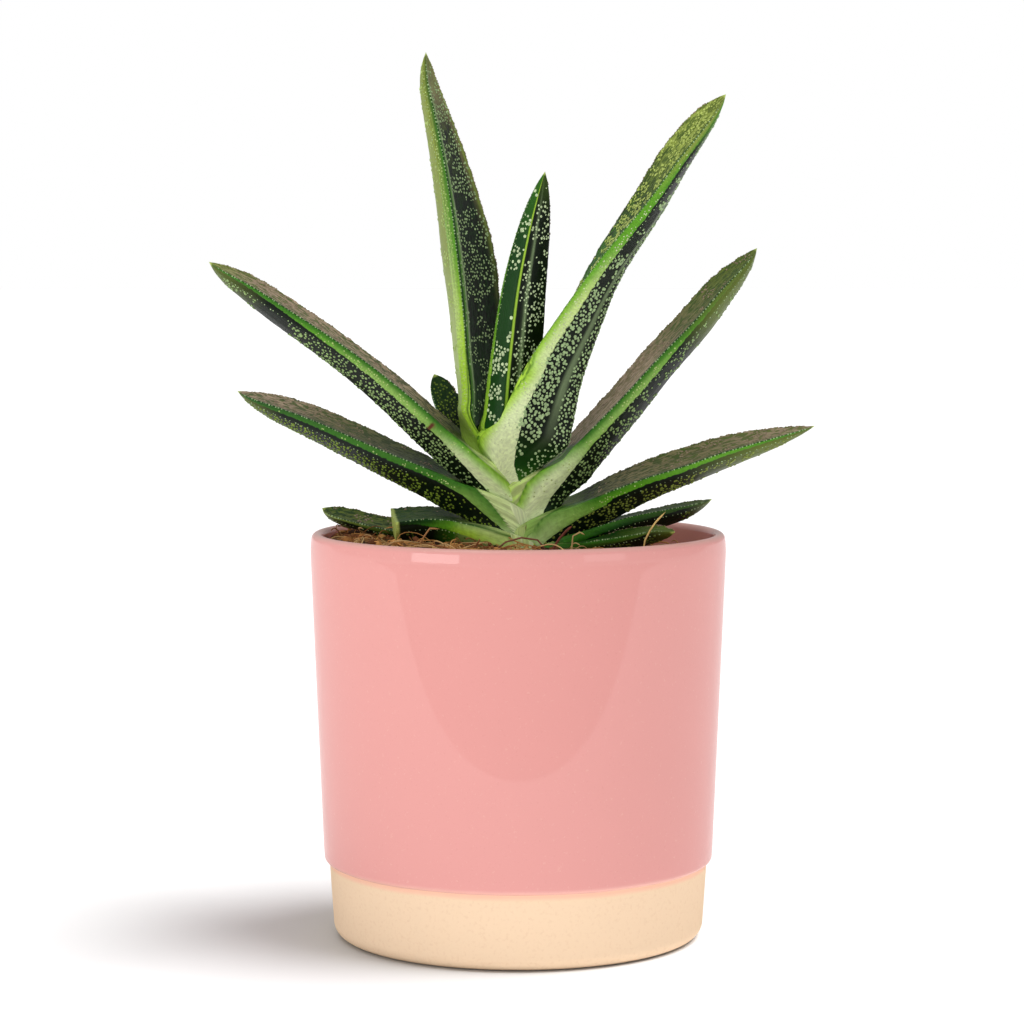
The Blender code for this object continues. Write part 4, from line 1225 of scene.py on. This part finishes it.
# The centre leaf is the youngest, short and upright, and shows its two under faces: a green one
# with large dots on the left of the keel line and a black one with fine dots on the right.
grow_leaf(
    "leaf_centre",
    rank="right", turn=55, clasp=100, foot=160, ring=3.0, hang=2, drop=8, back=4.2, sheath=10,
    path=[
        (-4.5, 0, 158), (-3, 0, 168), (-1.6, -1.5, 182), (0, -4, 196), (2, -6, 212), (4.6, -7.5, 227),
        (8.5, -9, 247),
    ],
    width=(9.4, 7.7, 4.9), roll=(-74, -80, -80), depth=(1.05, 1.05, 1.0), taper=10, keel=0.42,
    band=[(0, "lime"), (0.5, "fresh"), (1, "moss")],
    band_low=[(0, "lime"), (0.5, "fresh"), (1, "moss")],
    far_band=[(0, "leaf"), (0.4, "ash"), (1, "drab")],
    lines=[(8.55, 0.1, "mint", [(0, 0.4), (0.3, 0.7), (0.8, 0.5), (1, 0)])],
    under=[(0, "leaf"), (0.1, "bottle"), (0.75, "bottle"), (1, "leaf")],
    far_under=[(0, "bottle"), (0.3, "night"), (0.85, "night"), (1, "moss")],
    keel_line=(0.17, "lime"),
    dots=[(0, 0.55), (0.3, 0.5), (0.6, 0.42), (1, 0.5)], far_dots=[(0, 0.5), (0.5, 0.6), (1, 0.62)],
    dot=0.00052, dot_paint="pearl",
)

# The tallest leaf stands left of the middle with its upper face turned to the right. That face is
# painted nearly black between its dots: its own dark green, deepened by painted shade where the
# centre leaf shades it. Its near margin is the pale green beaded band on the left.
grow_leaf(
    "leaf_tall_left",
    rank="left", turn=25, clasp=100, foot=157, ring=3.7, hang=3, drop=8,
    path=[
        (-12, -1, 158), (-9.5, 1, 172), (-10.6, 3.5, 189), (-11.8, 5.3, 205), (-14, 7.3, 224),
        (-18.6, 9.5, 245), (-24, 11.7, 265), (-27.5, 13, 276), (-30, 14, 286.3),
    ],
    width=(9.0, 9.6, 5.4), roll=(42, 40, 14), depth=(1.2, 1.4, 0.8), taper=6,
    # Upper face: dark green painted down to night, as painted shade from the centre leaf beside it.
    upper=[(0, "bottle"), (0.3, "night"), (0.8, "night"), (0.9, "drab"), (1, "olive")],
    upper_fleck=[(0.6, "bottle"), (1, "straw")], fleck_amount=0.3,
    band=[(0.3, "lime"), (0.5, "fresh"), (0.8, "leaf"), (1, "olive")],
    band_low=[(0.2, "lime"), (0.35, "pale lime"), (0.55, "soft"), (0.75, "straw")],
    band_edge=[(0, 1.1), (1, 1.0)], stripes=0.45, ridge=[(0, "bottle")],
    ridge_amount=[(0.9, 0.9), (1, 0.2)],
    lines=[
        (0.55, 0.16, "fresh", [(0, 0.2), (0.25, 0.9), (1, 0.8)]),
        (0.85, 0.14, "mint", [(0, 0.1), (0.2, 0.85), (0.9, 0.7), (1, 0)]),
        (5.6, 0.35, "straw", [(0, 0), (0.35, 0.1), (0.6, 0.8), (1, 1)]),
        (5.0, 0.3, "drab", [(0.5, 0), (0.75, 0.8), (1, 1)]),
    ],
    under=[(0, "lime"), (0.2, "pale lime"), (0.5, "straw")],
    dots=[(0, 0.3), (1, 0.5)], upper_dots=[(0, 0.55), (0.3, 0.5), (0.45, 0.6), (1, 0.66)],
    band_dots=[(0, 0.3), (0.2, 0.7), (1, 0.85)], dot_paint="pale lime", upper_dot_paint="mint",
)

# The rear small leaf is a young short leaf behind the fan. Only its dark dotted tip shows, left of
# the tallest leaf, and it leaves the crown at the back.
grow_leaf(
    "leaf_rear_small",
    rank="left", turn=-60, clasp=60, foot=148, ring=5.6, hang=2, drop=6, back=2.5, sheath=10,
    path=[(-13, 8, 150), (-16, 9.5, 158), (-20, 11.5, 166), (-24, 16, 174.5), (-27.7, 20, 181.6)],
    width=(5.2, 4.8, 4.4), roll=(60, 68, 72), depth=(1, 1, 1), taper=3.5, keel=0,
    upper=[(0, "bottle"), (0.5, "night"), (1, "bottle")], upper_fleck=[(0, "moss")],
    fleck_amount=0.3, upper_dots=[(0, 0.6), (1, 0.9)], dot=0.00044, upper_dot_paint="bright olive",
)

# The studio is a plain white table under a white sky. A soft light from the right falls on the
# table alone and throws the shadow to the left, and soft panels light the plant. A dark card, seen
# only in reflections, lies on the table in front: it is the darker field that the glaze mirrors.
TABLE_REACH = 40.0
SKY_LIGHT = 0.56
KEY_LIGHT = 4.7
KEY_FROM = Vector((0.45, -0.03, 0.89))
KEY_SOFTNESS = 42.0
LOOK_AT = Vector((0.0, 0.0, 0.13))
PANELS = [
    ("panel_left", (-0.90, -0.90, 0.30), (0.62, 0.32), 2.9),
    ("panel_right", (0.85, -0.80, 0.28), (0.50, 0.20), 0.5),
    ("panel_top", (-0.25, -0.15, 1.15), (0.5, 0.5), 1.3),
]
CARD_EDGE = -0.30
CARD_HALF = (3.0, 1.5, 0.0)
CAMERA_PLACE = (-0.00203, -0.9691, 0.2143)
CAMERA_PITCH = 4.527
CAMERA_FOCUS = 3000.0
FRAME_PIXELS = 1024.0

white, place, shader = new_material("table_white")
set_shader(
    shader,
    Base_Color=(0.6, 0.6, 0.6, 1.0),
    Roughness=0.9,
    Specular_IOR_Level=0.0,
)
square = np.array([(-1, -1, 0), (1, -1, 0), (1, 1, 0), (-1, 1, 0)], float)
table = put_mesh("table", square * TABLE_REACH - (0, 0, 0.0002), [np.array([(0, 1, 2, 3)])], white)

dark, place, shader = new_material("card_dark")
set_shader(shader, Base_Color=(0.25, 0.25, 0.25, 1.0), Roughness=0.9, Specular_IOR_Level=0.0)
card_points = square * CARD_HALF + (0, CARD_EDGE - CARD_HALF[1], 0.0004)
card = put_mesh("reflected_card", card_points, [np.array([(0, 1, 2, 3)])], dark)
card.visible_camera = False
card.visible_diffuse = False
card.visible_shadow = False


def put_light(name, kind, spot, power):
    """A lamp at a place, turned to the middle of the plant."""
    lamp = bpy.data.lights.new(name, kind)
    lamp.energy = power
    made = bpy.data.objects.new(name, lamp)
    made.location = spot
    made.rotation_euler = (LOOK_AT - Vector(spot)).to_track_quat("-Z", "Y").to_euler()
    bpy.context.scene.collection.objects.link(made)
    return made


key = put_light("key_light", "SUN", LOOK_AT + KEY_FROM, KEY_LIGHT)
key.data.angle = math.radians(KEY_SOFTNESS)
lit_by_key = bpy.data.collections.new("lit_by_key")
lit_by_key.objects.link(table)
key.light_linking.receiver_collection = lit_by_key
for name, spot, size, power in PANELS:
    panel = put_light(name, "AREA", spot, power)
    panel.data.shape = "RECTANGLE"
    panel.data.size, panel.data.size_y = size

sky = bpy.data.worlds.new("white_sky")
sky.use_nodes = True
seen = Wire(sky.node_tree).node("ShaderNodeLightPath", {}, {})
background = sky.node_tree.nodes["Background"]
background.inputs["Color"].default_value = (1.0, 1.0, 1.0, 1.0)
sky.node_tree.links.new((SKY_LIGHT + (1.0 - SKY_LIGHT) * seen).socket, background.inputs["Strength"])
bpy.context.scene.world = sky
bpy.context.scene.view_settings.view_transform = "Standard"

lens = bpy.data.cameras.new("camera")
lens.sensor_width = 36.0
lens.lens = CAMERA_FOCUS / FRAME_PIXELS * lens.sensor_width
lens.clip_end = 50.0
camera = bpy.data.objects.new("camera", lens)
camera.location = CAMERA_PLACE
camera.rotation_euler = (math.radians(90 - CAMERA_PITCH), 0, 0)
bpy.context.scene.collection.objects.link(camera)
bpy.context.scene.camera = camera
